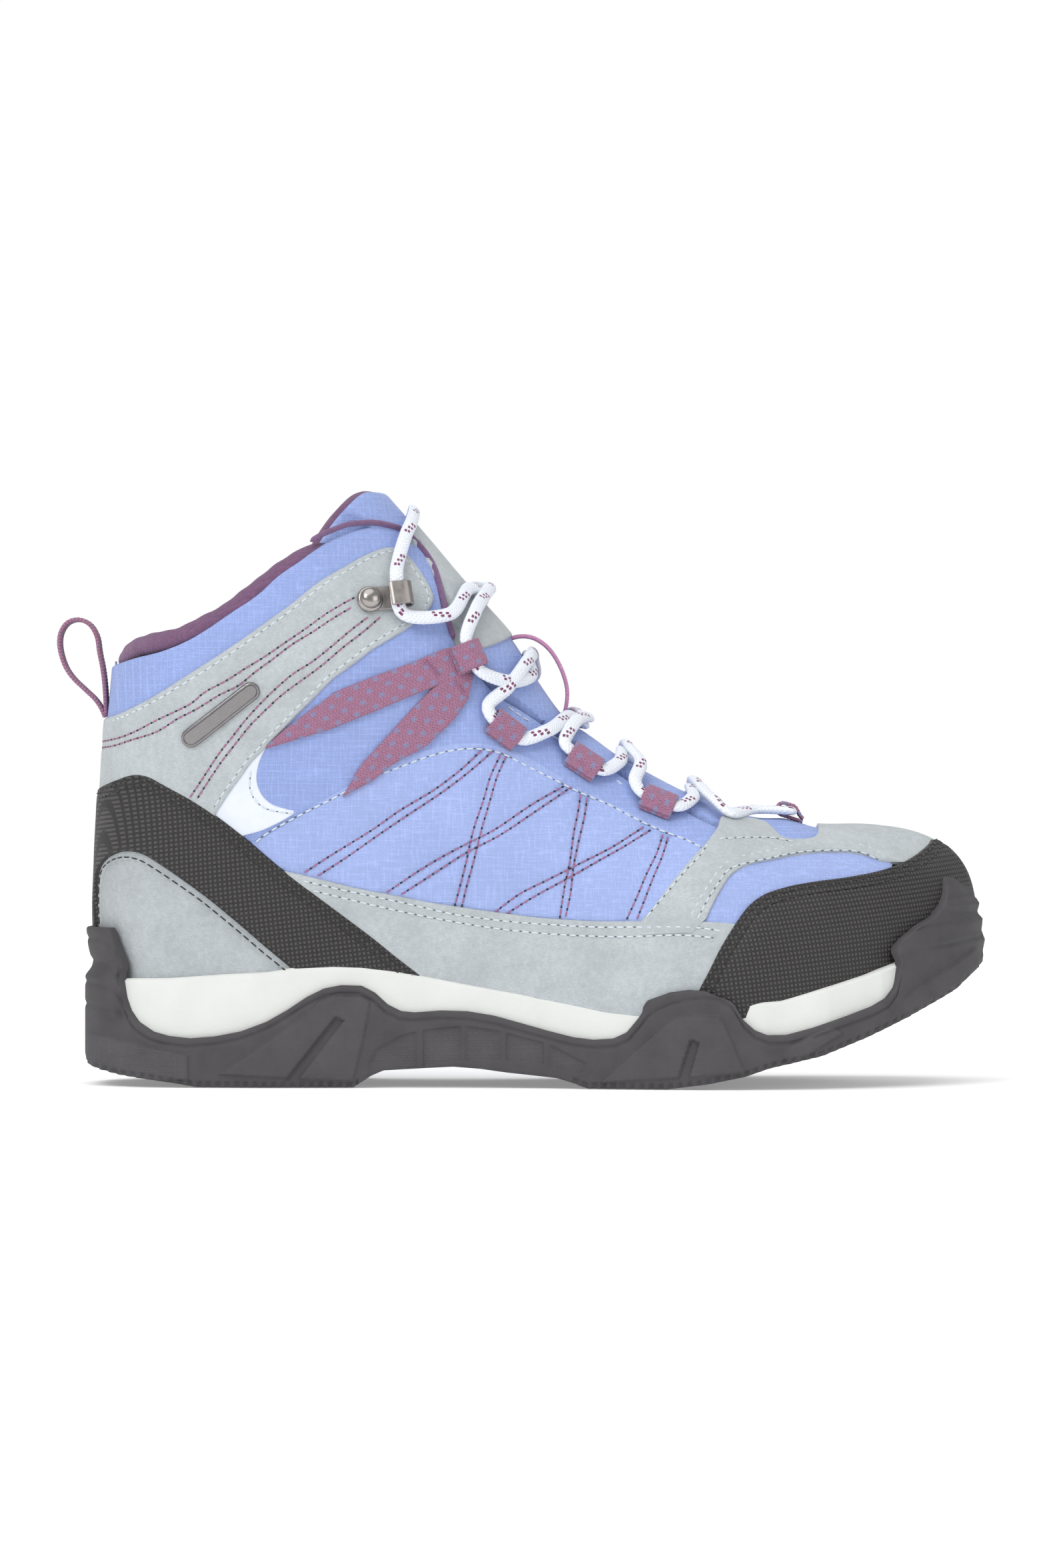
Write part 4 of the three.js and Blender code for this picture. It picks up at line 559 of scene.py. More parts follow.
def suede(name, base):
    m = Mat(name, base, 0.95, spec=0.15, sheen=0.18, sheen_rough=0.6)
    p = m.obj()
    fine, mid, big = m.noise(p, 2.4, 3.0, 0.7), m.noise(p, 0.55, 3.0), m.noise(p, 0.07, 3.0)
    nap = m.noise(m.comb(*[m.math("MULTIPLY", q, k) for q, k in zip(m.xyz(p)[:3], (0.9, 0.9, 2.6))]), 0.9, 3.0, 0.65)
    f = m.math("ADD", m.math("MULTIPLY", fine, 0.42), m.math("MULTIPLY", mid, 0.25))
    f = m.math("ADD", f, m.math("ADD", m.math("MULTIPLY", big, 0.30), m.math("MULTIPLY_ADD", nap, 0.30, -0.13)), clamp=True)
    m.colour(m.mix(m.ramp(f, 0.30, 0.80), tone(base, 0.80), tone(base, 1.20)))
    m.bump(m.math("ADD", fine, m.math("MULTIPLY", nap, 0.8)), 0.22)
suede("suede", (0.475, 0.515, 0.535))
suede("heel_suede", (0.445, 0.48, 0.50))

m = Mat("black_sheet", (0.040, 0.037, 0.037), 0.50, spec=0.45)
p = m.obj(); x, y, z = m.xyz(p)[:3]
gx_ = m.math("MULTIPLY_ADD", y, 0.5, m.math("MULTIPLY_ADD", z, 0.12, x))
gz_ = m.math("MULTIPLY_ADD", x, -0.12, z)
a1, a2 = m.unit(m.sin(gx_, 1.4)), m.unit(m.sin(gz_, 1.4))
# raised cells painted lighter as a painted highlight, grooves between them painted darker as painted shade; the same
# mask also drives the real bump
cell_relief_and_highlight = m.math("MULTIPLY", m.ramp(a1, 0.10, 0.55), m.ramp(a2, 0.10, 0.55))
n0 = m.noise(p, 1.6, 3.0)
m.colour(m.mix(m.math("ADD", m.math("MULTIPLY", cell_relief_and_highlight, 0.75), m.math("MULTIPLY_ADD", n0, 0.5, -0.12), clamp=True), (0.008, 0.0075, 0.0075), (0.072, 0.067, 0.067)))
m.bump(m.math("ADD", cell_relief_and_highlight, m.math("MULTIPLY", n0, 0.35)), 0.22)
m.rough(m.ramp(n0, 0.3, 0.7, 0.46, 0.66))

m = Mat("white_sheet", (0.82, 0.86, 0.95), 0.48, spec=0.4)
p = m.obj()
m.colour(m.mix(m.noise(p, 0.25, 3.0), (0.66, 0.70, 0.80), (0.76, 0.80, 0.88))).bump(m.noise(p, 2.2, 2.0), 0.05)

def knit(name, base, period, contrast=0.35, sheen=0.3, attr=True):
    m = Mat(name, base, 0.92, spec=0.15, sheen=sheen, tint=(0.9, 0.8, 0.95))
    v = m.wv() if attr else m.obj()
    s, q, r = m.xyz(v)[:3]
    a = m.sin(m.math("ADD", s, q), period)
    b = m.sin(m.math("SUBTRACT", s, q), period)
    k = m.unit(m.math("MULTIPLY", a, b))
    n = m.noise(m.obj(), 0.9, 3.0)
    f = m.math("ADD", m.math("MULTIPLY", k, contrast), m.math("MULTIPLY", n, 0.6), clamp=True)
    m.colour(m.mix(f, tone(base, 0.66), tone(base, 1.45))).bump(m.math("ADD", k, m.math("MULTIPLY", n, 0.4)), 0.18)
knit("purple_lining", (0.165, 0.088, 0.16), 1.0, attr=False)
knit("binding", (0.20, 0.115, 0.215), 0.9)
knit("keeper_web", (0.48, 0.22, 0.38), 0.9)

m = Mat("webbing", (0.34, 0.175, 0.28), 0.88, spec=0.18, sheen=0.2)
s, v, _ = m.xyz(m.wv())[:3]
chev = m.sin(m.math("ADD", s, m.math("MULTIPLY", m.math("ABSOLUTE", m.math("SUBTRACT", m.math("MODULO", m.math("ADD", v, 60.0), 2.2), 1.1)), 1.0)), 1.05)
rib = m.sin(v, 1.1)
k = m.unit(m.math("MULTIPLY", m.math("MULTIPLY_ADD", chev, 0.7, 0.3), m.math("MULTIPLY_ADD", rib, 0.35, 0.65)))
row = m.math("FLOOR", m.math("DIVIDE", m.math("ADD", v, 61.3), 2.6))
ph = m.math("MULTIPLY", m.math("MODULO", row, 2.0), 3.1)
ds = m.math("ABSOLUTE", m.math("SUBTRACT", m.math("MODULO", m.math("ADD", m.math("ADD", s, ph), 620.0), 6.2), 3.1))
dv = m.math("ABSOLUTE", m.math("SUBTRACT", m.math("MODULO", m.math("ADD", v, 61.3), 2.6), 1.3))
fleck = m.math("MULTIPLY", m.ramp(ds, 0.95, 0.7), m.ramp(dv, 0.75, 0.55))
n = m.noise(m.obj(), 1.1, 3.0)
c0 = m.mix(m.math("ADD", m.math("MULTIPLY", k, 0.75), m.math("MULTIPLY_ADD", n, 0.5, -0.1), clamp=True), (0.15, 0.062, 0.115), (0.43, 0.215, 0.325))
m.colour(m.mix(m.math("MULTIPLY", fleck, 0.8), c0, (0.215, 0.235, 0.40))).bump(m.math("ADD", k, m.math("MULTIPLY", n, 0.3)), 0.3)

m = Mat("lace_yarn", (0.84, 0.875, 0.94), 0.85, spec=0.2, sheen=0.15)
s, v, _ = m.xyz(m.wv())[:3]
a = m.sin(m.math("ADD", s, m.math("MULTIPLY", m.math("ABSOLUTE", v), 0.9)), 1.35)
b = m.sin(v, 0.8)
k = m.unit(m.math("MULTIPLY", a, m.math("MULTIPLY_ADD", b, 0.4, 0.6)))
sm_ = m.math("MODULO", m.math("ADD", s, 160.0), 15.5)
mark = None
for i in range(3):
    for ds_, dv_ in ((0.0, 0.0), (0.35, 1.05)):
        q = m.math("MULTIPLY", m.ramp(m.math("ABSOLUTE", m.math("SUBTRACT", sm_, 3.0 + 2.3 * i + ds_)), 0.68, 0.50), m.ramp(m.math("ABSOLUTE", m.math("SUBTRACT", v, -1.1 + 0.55 * i + dv_)), 0.46, 0.34))
        mark = q if mark is None else m.math("MAXIMUM", mark, q)
base = m.mix(m.math("MULTIPLY_ADD", k, 0.6, m.math("MULTIPLY", m.noise(m.obj(), 1.2, 2.0), 0.4), clamp=True), (0.66, 0.70, 0.79), (0.90, 0.93, 0.98))
m.colour(m.mix(mark, base, (0.20, 0.055, 0.13))).bump(k, 0.22)

m = Mat("midsole_foam", (0.80, 0.815, 0.79), 0.72, spec=0.3)
m.b.inputs["Subsurface Weight"].default_value = 0.05
m.b.inputs["Subsurface Radius"].default_value = (0.002, 0.002, 0.002)
p = m.obj()
m.colour(m.mix(m.noise(p, 0.10, 4.0), (0.63, 0.645, 0.62), (0.72, 0.73, 0.71))).bump(m.noise(p, 2.8, 3.0), 0.07)

m = Mat("outsole_rubber", (0.105, 0.10, 0.106), 0.72, spec=0.35)
p = m.obj(); x, y, z = m.xyz(p)[:3]
a, b = m.sin(m.math("ADD", x, z), 0.95), m.sin(m.math("SUBTRACT", x, z), 0.95)
dm = m.unit(m.math("MULTIPLY", a, b))
lug = m.xyz(m.wv())[2]
n0, n1 = m.noise(p, 3.0, 3.0, 0.7), m.noise(p, 0.12, 3.0)
tex = m.math("ADD", m.math("MULTIPLY", m.math("MULTIPLY", dm, lug), 0.8), m.math("MULTIPLY", n0, 0.35))
f = m.math("ADD", m.math("MULTIPLY", tex, 0.55), m.math("MULTIPLY_ADD", n1, 0.7, -0.2), clamp=True)
m.colour(m.mix(f, (0.046, 0.043, 0.046), (0.122, 0.117, 0.124))).bump(tex, 0.2)
m.rough(m.ramp(n1, 0.3, 0.7, 0.64, 0.8))

m = Mat("pewter", (0.50, 0.465, 0.445), 0.27, metal=1.0, spec=0.5)
p = m.obj()
n0 = m.noise(p, 0.22, 2.0)
m.colour(m.mix(n0, (0.33, 0.305, 0.29), (0.44, 0.41, 0.39))).rough(m.ramp(n0, 0.3, 0.7, 0.2, 0.38))
m = Mat("badge_metal", (0.12, 0.115, 0.12), 0.42, metal=0.9, spec=0.5)
p = m.obj()
q = m.xyz(p)[:3]
n0 = m.noise(m.comb(m.math("MULTIPLY_ADD", q[0], 0.3, m.math("MULTIPLY", q[2], 0.25)), m.math("MULTIPLY_ADD", q[2], 3.0, m.math("MULTIPLY", q[0], -2.4))), 1.0, 3.0)
m.colour(m.mix(n0, (0.17, 0.165, 0.17), (0.34, 0.325, 0.33))).rough(m.ramp(n0, 0.3, 0.7, 0.22, 0.38)).bump(n0, 0.02)

def thread(name, base):
    m = Mat(name, base, 0.7, spec=0.25, sheen=0.2)
    p = m.obj(); q = m.xyz(p)[:3]
    t = m.unit(m.sin(m.math("ADD", m.math("ADD", q[0], q[2]), q[1]), 0.35))
    m.colour(m.mix(t, tone(base, 0.75), tone(base, 1.2))).bump(t, 0.04)
thread("thread_purple", (0.36, 0.155, 0.275))
# very dark capsules stand for painted shade in the needle holes between stitches, not a thread of their own
thread("stitch_gap_shade", (0.035, 0.018, 0.035))
thread("thread_light", (0.66, 0.73, 0.77))
# grey capsules stand for painted shade in the needle holes between the light stitches
thread("needle_hole_shade", (0.11, 0.12, 0.135))
thread("thread_blue", (0.42, 0.52, 0.80))
thread("thread_black", (0.03, 0.028, 0.028))

def plain(name, base, rough, scale, amp=0.15, bump=0.08, metal=0.0):
    m = Mat(name, base, rough, metal=metal, spec=0.3)
    p = m.obj()
    n = m.noise(p, scale, 4.0, 0.6)
    m.colour(m.mix(n, tone(base, 1 - amp), tone(base, 1 + amp))).bump(n, bump)
plain("foam", (0.66, 0.63, 0.54), 0.95, 1.4, 0.3, 0.3)
plain("board", (0.48, 0.39, 0.26), 0.9, 0.8, 0.2, 0.1)
plain("stiffener", (0.62, 0.58, 0.46), 0.7, 0.5)
plain("shank_nylon", (0.07, 0.07, 0.075), 0.5, 0.5)
plain("aglet_film", (0.78, 0.80, 0.83), 0.22, 0.5, 0.05, 0.02)
knit("footbed_top", (0.145, 0.125, 0.175), 1.3, attr=False)
plain("floor", (0.93, 0.93, 0.93), 0.9, 0.01, 0.005, 0.0)
M["floor"].node_tree.nodes["Principled BSDF"].inputs["Emission Color"].default_value = (1, 1, 1, 1)
M["floor"].node_tree.nodes["Principled BSDF"].inputs["Emission Strength"].default_value = 0.24

# hidden and carried-over solids keep their CAD shape and take these finishes
SLOT_OF = {s["node"]: s["material_slot"] for s in frame["record"]["subparts"]}
for nm, ob in frame["nodes"].items():
    ob.data.materials.clear()
    ob.data.materials.append(M[SLOT_OF[nm]])

# ------------------------------------------------------------------ camera, light, floor
scene = bpy.context.scene
cam_data = bpy.data.cameras.new("camera")
cam = bpy.data.objects.new("camera", cam_data)
scene.collection.objects.link(cam)
cam_data.sensor_width = 36.0
cam_data.lens = 148.6
cam_data.clip_start, cam_data.clip_end = 0.05, 60
cam.location = (0.0976, -2.03, 0.0935)
cam.rotation_euler = (math.pi / 2, 0, 0)
scene.camera = cam
scene.view_settings.view_transform = "Standard"

def area(name, loc, target, size, power, col=(1, 1, 1)):
    d = bpy.data.lights.new(name, "AREA")
    d.shape = "RECTANGLE"
    d.size, d.size_y = size
    d.energy, d.color = power, col
    o = bpy.data.objects.new(name, d)
    scene.collection.objects.link(o)
    o.location = loc
    o.rotation_euler = (Vector(loc) - Vector(target)).to_track_quat("Z", "Y").to_euler()
    return o
area("key", (-1.1, -2.1, 1.7), (0.1, 0, 0.07), (1.3, 1.0), 25.0)
area("fill", (1.9, -1.8, 0.9), (0.1, 0, 0.07), (1.3, 1.3), 9.0)
sn = bpy.data.lights.new("sun", "SUN")
sn.energy, sn.angle = 1.3, math.radians(70)
so = bpy.data.objects.new("sun", sn)
scene.collection.objects.link(so)
so.location = (0, 0, 3)
so.rotation_euler = (math.radians(18), math.radians(-10), 0)
area("rim", (0.2, 2.3, 1.2), (0.1, 0, 0.08), (1.8, 1.2), 12.0)
w = bpy.data.worlds.new("world")
scene.world = w
w.use_nodes = True
wt = w.node_tree
bg = next(n for n in wt.nodes if n.type == "BACKGROUND")
out = next(n for n in wt.nodes if n.type == "OUTPUT_WORLD")
bg.inputs[0].default_value = (1, 1, 1, 1)
bg.inputs[1].default_value = 0.48
b2 = wt.nodes.new("ShaderNodeBackground")
b2.inputs[0].default_value = (1, 1, 1, 1)
b2.inputs[1].default_value = 1.0
lp = wt.nodes.new("ShaderNodeLightPath")
mx = wt.nodes.new("ShaderNodeMixShader")
wt.links.new(lp.outputs["Is Camera Ray"], mx.inputs[0])
wt.links.new(bg.outputs[0], mx.inputs[1])
wt.links.new(b2.outputs[0], mx.inputs[2])
wt.links.new(mx.outputs[0], out.inputs[0])
fm = bpy.data.meshes.new("floor")
fr = [(40 * math.cos(a), 40 * math.sin(a), -0.0002) for a in np.linspace(0, 2 * math.pi, 96, endpoint=False)]
fm.from_pydata(fr, [], [list(range(96))])
fm.materials.append(M["floor"])
floor = bpy.data.objects.new("floor", fm)
scene.collection.objects.link(floor)

# ------------------------------------------------------------------ upper panels
BOTH, LAT = (-1, 1), (-1,)
SIDES = (("lateral", (-1,)), ("medial", (1,)))
def foam_t(u, c, x, z):
    return 1.8 + 4.2 * sm((w_of(u, c) - 24) / 16) * sm((z - 78) / 22) * sm((95 - x) / 20)
def lin_off(u, c, x, z):
    return -1.5 - foam_t(u, c, x, z) - 0.3

def rows_near(x, z, rows, r):
    """distance in the side view to a set of lines"""
    P = np.stack([x, z], 1)
    A = np.concatenate([np.asarray(q)[:-1] for q in rows])
    B = np.concatenate([np.asarray(q)[1:] for q in rows])
    return seg_dist(P, A, B)

Z_ROWS = [px(r) for r in (
    [(457,1308),(500,1280),(560,1243),(600,1215),(650,1185),(690,1155),(722,1125)],
    [(477,1313),(520,1285),(570,1250),(610,1223),(660,1190),(700,1160),(738,1127)],
    [(750,1132),(735,1165),(725,1200),(710,1245),(700,1290),(690,1330),(682,1360)],
    [(759,1133),(745,1165),(735,1200),(722,1245),(711,1290),(700,1330),(693,1360)],
    [(580,1338),(640,1298),(690,1270),(740,1245),(800,1205),(848,1178)],
    [(602,1341),(650,1310),(700,1278),(750,1252),(800,1219),(856,1181)],
    [(870,1192),(866,1220),(860,1250),(855,1290),(847,1330),(840,1378)],
    [(880,1197),(876,1225),(868,1260),(860,1300),(856,1340),(848,1378)],
    [(742,1368),(780,1340),(820,1320),(870,1295),(920,1270),(968,1240)],
    [(760,1370),(800,1345),(850,1318),(900,1290),(940,1268),(976,1246)],
    [(994,1253),(985,1280),(970,1310),(955,1345),(938,1382)],
    [(1002,1256),(993,1285),(980,1315),(968,1345),(955,1378)])]
L_ROWS = [px(r) for r in (
    [(145,1113),(180,1107),(205,1098),(240,1080),(265,1068),(290,1055),(310,1038),(340,1022),(370,1003),(400,985),(430,965),(460,945),(490,923),(520,905),(535,897)],
    [(145,1122),(175,1118),(200,1110),(240,1097),(270,1078),(300,1062),(330,1043),(360,1028),(385,1008),(410,990),(440,968),(470,950),(500,930),(530,912)],
    [(552,928),(530,945),(500,970),(470,993),(440,1012),(410,1038),(390,1058),(370,1080),(350,1105),(330,1130),(310,1160),(297,1180),(286,1197)],
    [(570,928),(545,950),(515,973),(485,998),(455,1020),(425,1042),(400,1065),(375,1090),(355,1115),(335,1140),(318,1165),(305,1185),(297,1198)])]
SIDE_STITCH = px([(385,1262),(400,1250),(450,1222),(500,1197),(560,1165),(600,1150),(640,1135),(680,1125),(715,1123),(750,1130),(790,1150),(830,1170),(870,1190),(910,1207),(950,1228),(990,1247),(1030,1262),(1055,1275)])
MUD_ROWS = [px(r) for r in (
    [(455,1320),(520,1335),(600,1352),(680,1370),(760,1381),(840,1387),(900,1390),(960,1390),(1040,1391),(1080,1396)],
    [(470,1335),(540,1352),(620,1370),(700,1385),(780,1396),(860,1402),(940,1404),(1020,1402),(1070,1406)])]
TOE_ROWS = [px(r) for r in (
    [(1045,1378),(1060,1350),(1075,1328),(1090,1308),(1110,1300),(1150,1292),(1200,1283),(1240,1281),(1290,1283),(1320,1295)],
    [(970,1375),(1000,1340),(1030,1305),(1050,1285),(1060,1270)],
    [(1078,1262),(1120,1261),(1160,1262),(1190,1268)])]

def shift(pts, d):
    """an open line moved sideways by d, to the left of its direction"""
    P = resample(crom(pts, 6), 1.2)
    T = np.gradient(P, axis=0)
    T /= np.linalg.norm(T, axis=1, keepdims=True)
    return (P + np.stack([-T[:, 1], T[:, 0]], 1) * d).tolist()
def cloth_top(base, T, rad, amp, seed, rows=None, depth=0.4, puff=0.0, puff_r=12.0):
    def f(u, c, d, x, z, sd):
        h = base + T * (0.2 + 0.8 * prof(d, rad)) + amp * waves(x, z, seed + (sd > 0), 34) * sm(d / 5)
        if puff:
            h = h + puff * sm(d / puff_r)
        if rows is not None:
            q = rows_near(x, z, rows, 3)
            h = h - depth * np.exp(-(q / 1.5) ** 2) + 0.18 * sm(q / 7) * sm(d / 5)
        return h
    return f
def flat_bot(v):
    return lambda u, c, d, x, z, sd: np.full(len(x), float(v))

# quarters: the knit body of the shaft and the throat
low_side = shift(SIDE_TOP, -4.0)                     # runs under the side panel
q_segs = [("e", COLLAR), ("e", THROAT[:-1]), ("h", [THROAT[-2], (156, 70.5)] + [p for p in low_side[::-1] if p[0] > 14 and p[0] < 154] + [(8, 66), (-6, 62), (-18, 66), (-28, 80), (-33.6, 86)]), ("b", (rear_u(-33.6, 88), rear_u(-30.6, 129.8)))]
hp = half_panel(q_segs)
QTOP = cloth_top(-1.15, 1.1, 0.9, 0.22, 11, L_ROWS[:0] or None, puff=0.5, puff_r=14)
for nm, sd in SIDES:
    V, F, A = build(hp, sd, QTOP, flat_bot(-1.35))
    mesh("quarter_panel_" + nm, V, F, "blue_mesh", "upper", rep=("quarter_" + nm,))

# side panels, stitched in a zigzag
s_segs = [("e", SIDE_TOP), ("h", [(157.6, 72.7), (155, 68), (149, 58), (147, 46)] + [(x, z - 4.5) for x, z in MUD_TOP[::-1] if 40 < x < 146] + [(30, 58), (18, 66), (9.5, 71.5)])]
hp = half_panel(s_segs, h=1.25)
S_TOP = cloth_top(-0.35, 0.95, 0.7, 0.16, 21, Z_ROWS, 0.42, 0.35, 10)
MT2 = np.asarray([p for p in MUD_TOP if p[0] > 20], float)
MT2 = MT2[np.argsort(MT2[:, 0])]
def STOP(u, c, d, x, z, sd):
    return S_TOP(u, c, d, x, z, sd) - 1.0 * sm((np.interp(x, MT2[:, 0], MT2[:, 1]) + 0.6 - z) / 1.6)
for nm, sd in SIDES:
    V, F, A = build(hp, sd, STOP, flat_bot(-0.9))
    mesh("side_panel_" + nm, V, F, "blue_ripstop", "upper", rep=("side_panel_" + nm,))

# vamp window, tucked under the toe overlay and the toe cap
low_toe = [p for p in shift(TOE_LOW, -3.2)]
cap_in = shift([p for p in CAP if 153 < p[0] < 214], -3.4)
v_segs = [("h", low_toe + cap_in)]
hp = half_panel(v_segs, h=1.6)
V1, F1, A1 = build(hp, (-1,), lambda u, c, d, x, z, sd: 0.05 + 0.35 * np.ones(len(x)) + 0.08 * waves(x, z, 5, 20), flat_bot(-0.8))
V2, F2, A2 = build(hp, (1,), lambda u, c, d, x, z, sd: 0.05 + 0.35 * np.ones(len(x)) + 0.08 * waves(x, z, 6, 20), flat_bot(-0.8))
mesh("vamp_window", np.concatenate([V1, V2]), F1 + [[i + len(V1) for i in f] for f in F2], "blue_ripstop", "upper", rep=("vamp_textile",))

# white accent under the ankle overlay
hp = half_panel([("e", ACCENT[:9]), ("h", [ACCENT[8], (9.5, 74), (0, 82), (3.2, 90), (8.5, 97.5), (13.5, 103), (18.5, 106.4)])], h=1.4)
for nm, sd in SIDES:
    V, F, A = build(hp, sd, lambda u, c, d, x, z, s: 0.15 + 0.75 * (0.2 + 0.8 * prof(d, 0.7)), flat_bot(-0.4))
    mesh("accent_" + nm, V, F, "white_sheet", "upper", rep=("accent_patch_" + nm,))

def hide_top(base, T, rad, amp, seed, rows=None, depth=0.35):
    def f(u, c, d, x, z, sd):
        h = base + T * (0.15 + 0.85 * prof(d, rad)) + amp * waves(x, z, seed + (sd > 0), 26) * sm(d / 4)
        if rows is not None:
            h = h - depth * np.exp(-(rows_near(x, z, rows, 3) / 0.9) ** 2)
        return h
    return f
# ankle overlays
a_low = shift(HEEL_OUT[:11], -3.5)
a_segs = [("e", [(-33.4, 113.8)] + ANKLE_TOP + ANKLE_BOT), ("h", [ANKLE_BOT[-1], (0.5, 81)] + [p for p in a_low[::-1] if p[0] < -2 and p[0] > -31] + [(-33, 88)]), ("b", (rear_u(-33.7, 88.5), rear_u(-32.3, 113.6)))]
hp = half_panel(a_segs, h=1.5)
for nm, sd in SIDES:
    V, F, A = build(hp, sd, hide_top(0.35, 1.25, 0.9, 0.10, 31, L_ROWS), flat_bot(-0.1))
    mesh("ankle_panel_" + nm, V, F, "suede", "upper", rep=("ankle_overlay_" + nm,))
# mudguards
uB0, uB1 = rear_u(42, 35), rear_u(156, 20.6)
cap_z = np.asarray(CAP[:14], float)
cap_x = lambda z: float(np.interp(z, cap_z[:, 1], cap_z[:, 0]))
m_r = [(cap_x(z) + 3.2, z) for z in (50.2, 46, 42, 38, 34, 30, 26)]
m_segs = [("e", [p for p in MUD_TOP[:-1] if p[0] < 156] + [(cap_x(50.2) + 3.0, 50.2)]), ("h", m_r + [(157.5, 21.5)]), ("c", (rear_u(157.5, 21), rear_u(62, 33))), ("h", [(62, 34), (52, 40.5), (40, 49), (28, 58), (19, 66), (22.5, 67.2)])]
hp = half_panel(m_segs, h=1.6)
for nm, sd in SIDES:
    V, F, A = build(hp, sd, hide_top(0.30, 1.2, 0.8, 0.10, 41, MUD_ROWS, 0.28), flat_bot(-0.1))
    mesh("mudguard_panel_" + nm, V, F, "suede", "upper", rep=("mudguard_" + nm,))
# heel patches
hi = [(max(x, float(tab(BACKs, z)) + 1.0), z) for x, z in HEEL_IN[:-1]]
h_out = [(max(x, float(tab(BACKs, z)) + 0.35), z) for x, z in shift(HEEL_IN[:-1], -3.0)]
h_segs = [("h", h_out), ("c", (rear_u(-30.6, 33), rear_u(34, 34)))]
hp = half_panel(h_segs, h=1.7)
for nm, sd in SIDES:
    V, F, A = build(hp, sd, lambda u, c, d, x, z, s: 0.85 + 0.35 * sm(rows_near(x, z, [HEEL_IN], 3) / 9) + 0.12 * waves(x, z, 51, 24), flat_bot(-0.1))
    mesh("heel_panel_" + nm, V, F, "heel_suede", "upper", rep=("heel_patch_" + nm,))
# black heel frame, round the back
f_segs = [("e", [(-33.9, 91.9)] + HEEL_OUT[1:]), ("c", (rear_u(68, 32), rear_u(31, 34))), ("e", [HEEL_IN[0]] + hi[1:] + [(-31.0, 34.2)]), ("b", (8.0, rear_u(-33.6, 91.9)))]
hp = half_panel(f_segs, h=1.6)
F_ROWS = [shift(HEEL_OUT, -1.7), shift(HEEL_OUT, -3.6), shift(hi, 1.6)]
V, F, A = build(hp, BOTH, hide_top(0.5, 1.75, 1.1, 0.08, 61, [r for r in F_ROWS], 0.3), flat_bot(0.05))
mesh("heel_frame_wrap", V, F, "black_sheet", "upper", rep=("heel_frame",))
# toe overlay
uR1, uR2 = ridge_u(188.6, 79.5), ridge_u(229, 73.5)
t_segs = [("h", [(149.8, 47.6), (134.5, 47.0)]), ("e", [(133.4, 50.6)] + TOE_LEFT[1:] + TOE_THROAT), ("e", [TOE_THROAT[-1], (189.6, 77.6), (190.1, 79.4)]), ("r", (ridge_u(190.1, 79.6), uR2)), ("h", [(228.4, 71.2), (223, 69.6), (216, 68.2)]), ("e", TOE_LOW[1:-1] + [(154.4, 52.4)]), ("h", [(154.4, 52.4), (149.8, 47.6)])]
hp = half_panel(t_segs, h=1.4)
V, F, A = build(hp, BOTH, hide_top(0.35, 1.2, 0.85, 0.10, 71, TOE_ROWS), flat_bot(-0.1))
mesh("toe_overlay_panel", V, F, "suede", "upper", rep=("toe_overlay",))
# grey base of the tongue, stitched down under the toe overlay
hp = half_panel([("h", [(168.5, 79.4), (172, 76.0), (180, 73.4), (188, 72.8), (194.5, 73.6)]), ("r", (ridge_u(194.5, 78.6), ridge_u(167.5, 85.4)))], h=1.5)
V, F, A = build(hp, BOTH, lambda u, c, d, x, z, s: -0.15 + 0.06 * waves(x, z, 77, 14) + 2.3 * np.exp(-((x - 180) / 7.5) ** 2) * np.exp(-(w_of(u, c) / 8.0) ** 2), flat_bot(-1.1))
mesh("tongue_base_tab", V, F, "blue_mesh", "upper")
# toe cap
CAPC = [(150.6, 22.5)] + CAP[:-2] + [(226.4, 75.4)]
c_segs = [("e", CAPC), ("r", (ridge_u(226.2, 75.2), 24.6)), ("u", (24.6, 0.0, 1.0)), ("c", (24.6, rear_u(150.6, 20.6)))]
hp = half_panel(c_segs, h=1.5)
C_ROWS = [shift(CAP[:-2], -1.7), shift(CAP[:-2], -3.7)]
V, F, A = build(hp, BOTH, hide_top(0.5, 1.85, 1.2, 0.06, 81, C_ROWS, 0.3), flat_bot(0.0))
mesh("toe_cap_wrap", V, F, "black_sheet", "upper", rep=("toe_cap",))

# ------------------------------------------------------------------ places on the surface
def surf(x, z, side, off=0.0):
    x, z = np.atleast_1d(np.asarray(x, float)), np.atleast_1d(np.asarray(z, float))
    u, c = uc_of(x, z)
    return at(u, c, side, off)
def unit(v):
    v = np.asarray(v, float)
    return v / (np.linalg.norm(v, axis=-1, keepdims=True) + 1e-12)
def frame_at(x, z, d, side):
    (p,), (n,) = surf(x, z, side)
    a, b = surf(x + d[0] * 3, z + d[1] * 3, side)[0][0], surf(x - d[0] * 3, z - d[1] * 3, side)[0][0]
    e2 = a - b
    e2 = unit(e2 - n * (e2 @ n))
    return p, n, np.cross(n, e2), e2
def join(parts):
    V, F, A, n = [], [], [], 0
    for p in parts:
        v, f = p[0], p[1]
        V.append(v)
        F += [[i + n for i in q] for q in f]
        A.append(p[2] if len(p) > 2 and p[2] is not None else np.zeros((len(v), 3)))
        n += len(v)
    return np.concatenate(V), F, np.concatenate(A)
def grid_faces(n, m, closed_n=False, closed_m=True, flip=False):
    F = []
    for i in range(n if closed_n else n - 1):
        for j in range(m if closed_m else m - 1):
            a, b = i * m + j, i * m + (j + 1) % m
            c, d = ((i + 1) % n) * m + (j + 1) % m, ((i + 1) % n) * m + j
            F.append([a, d, c, b] if flip else [a, b, c, d])
    return F
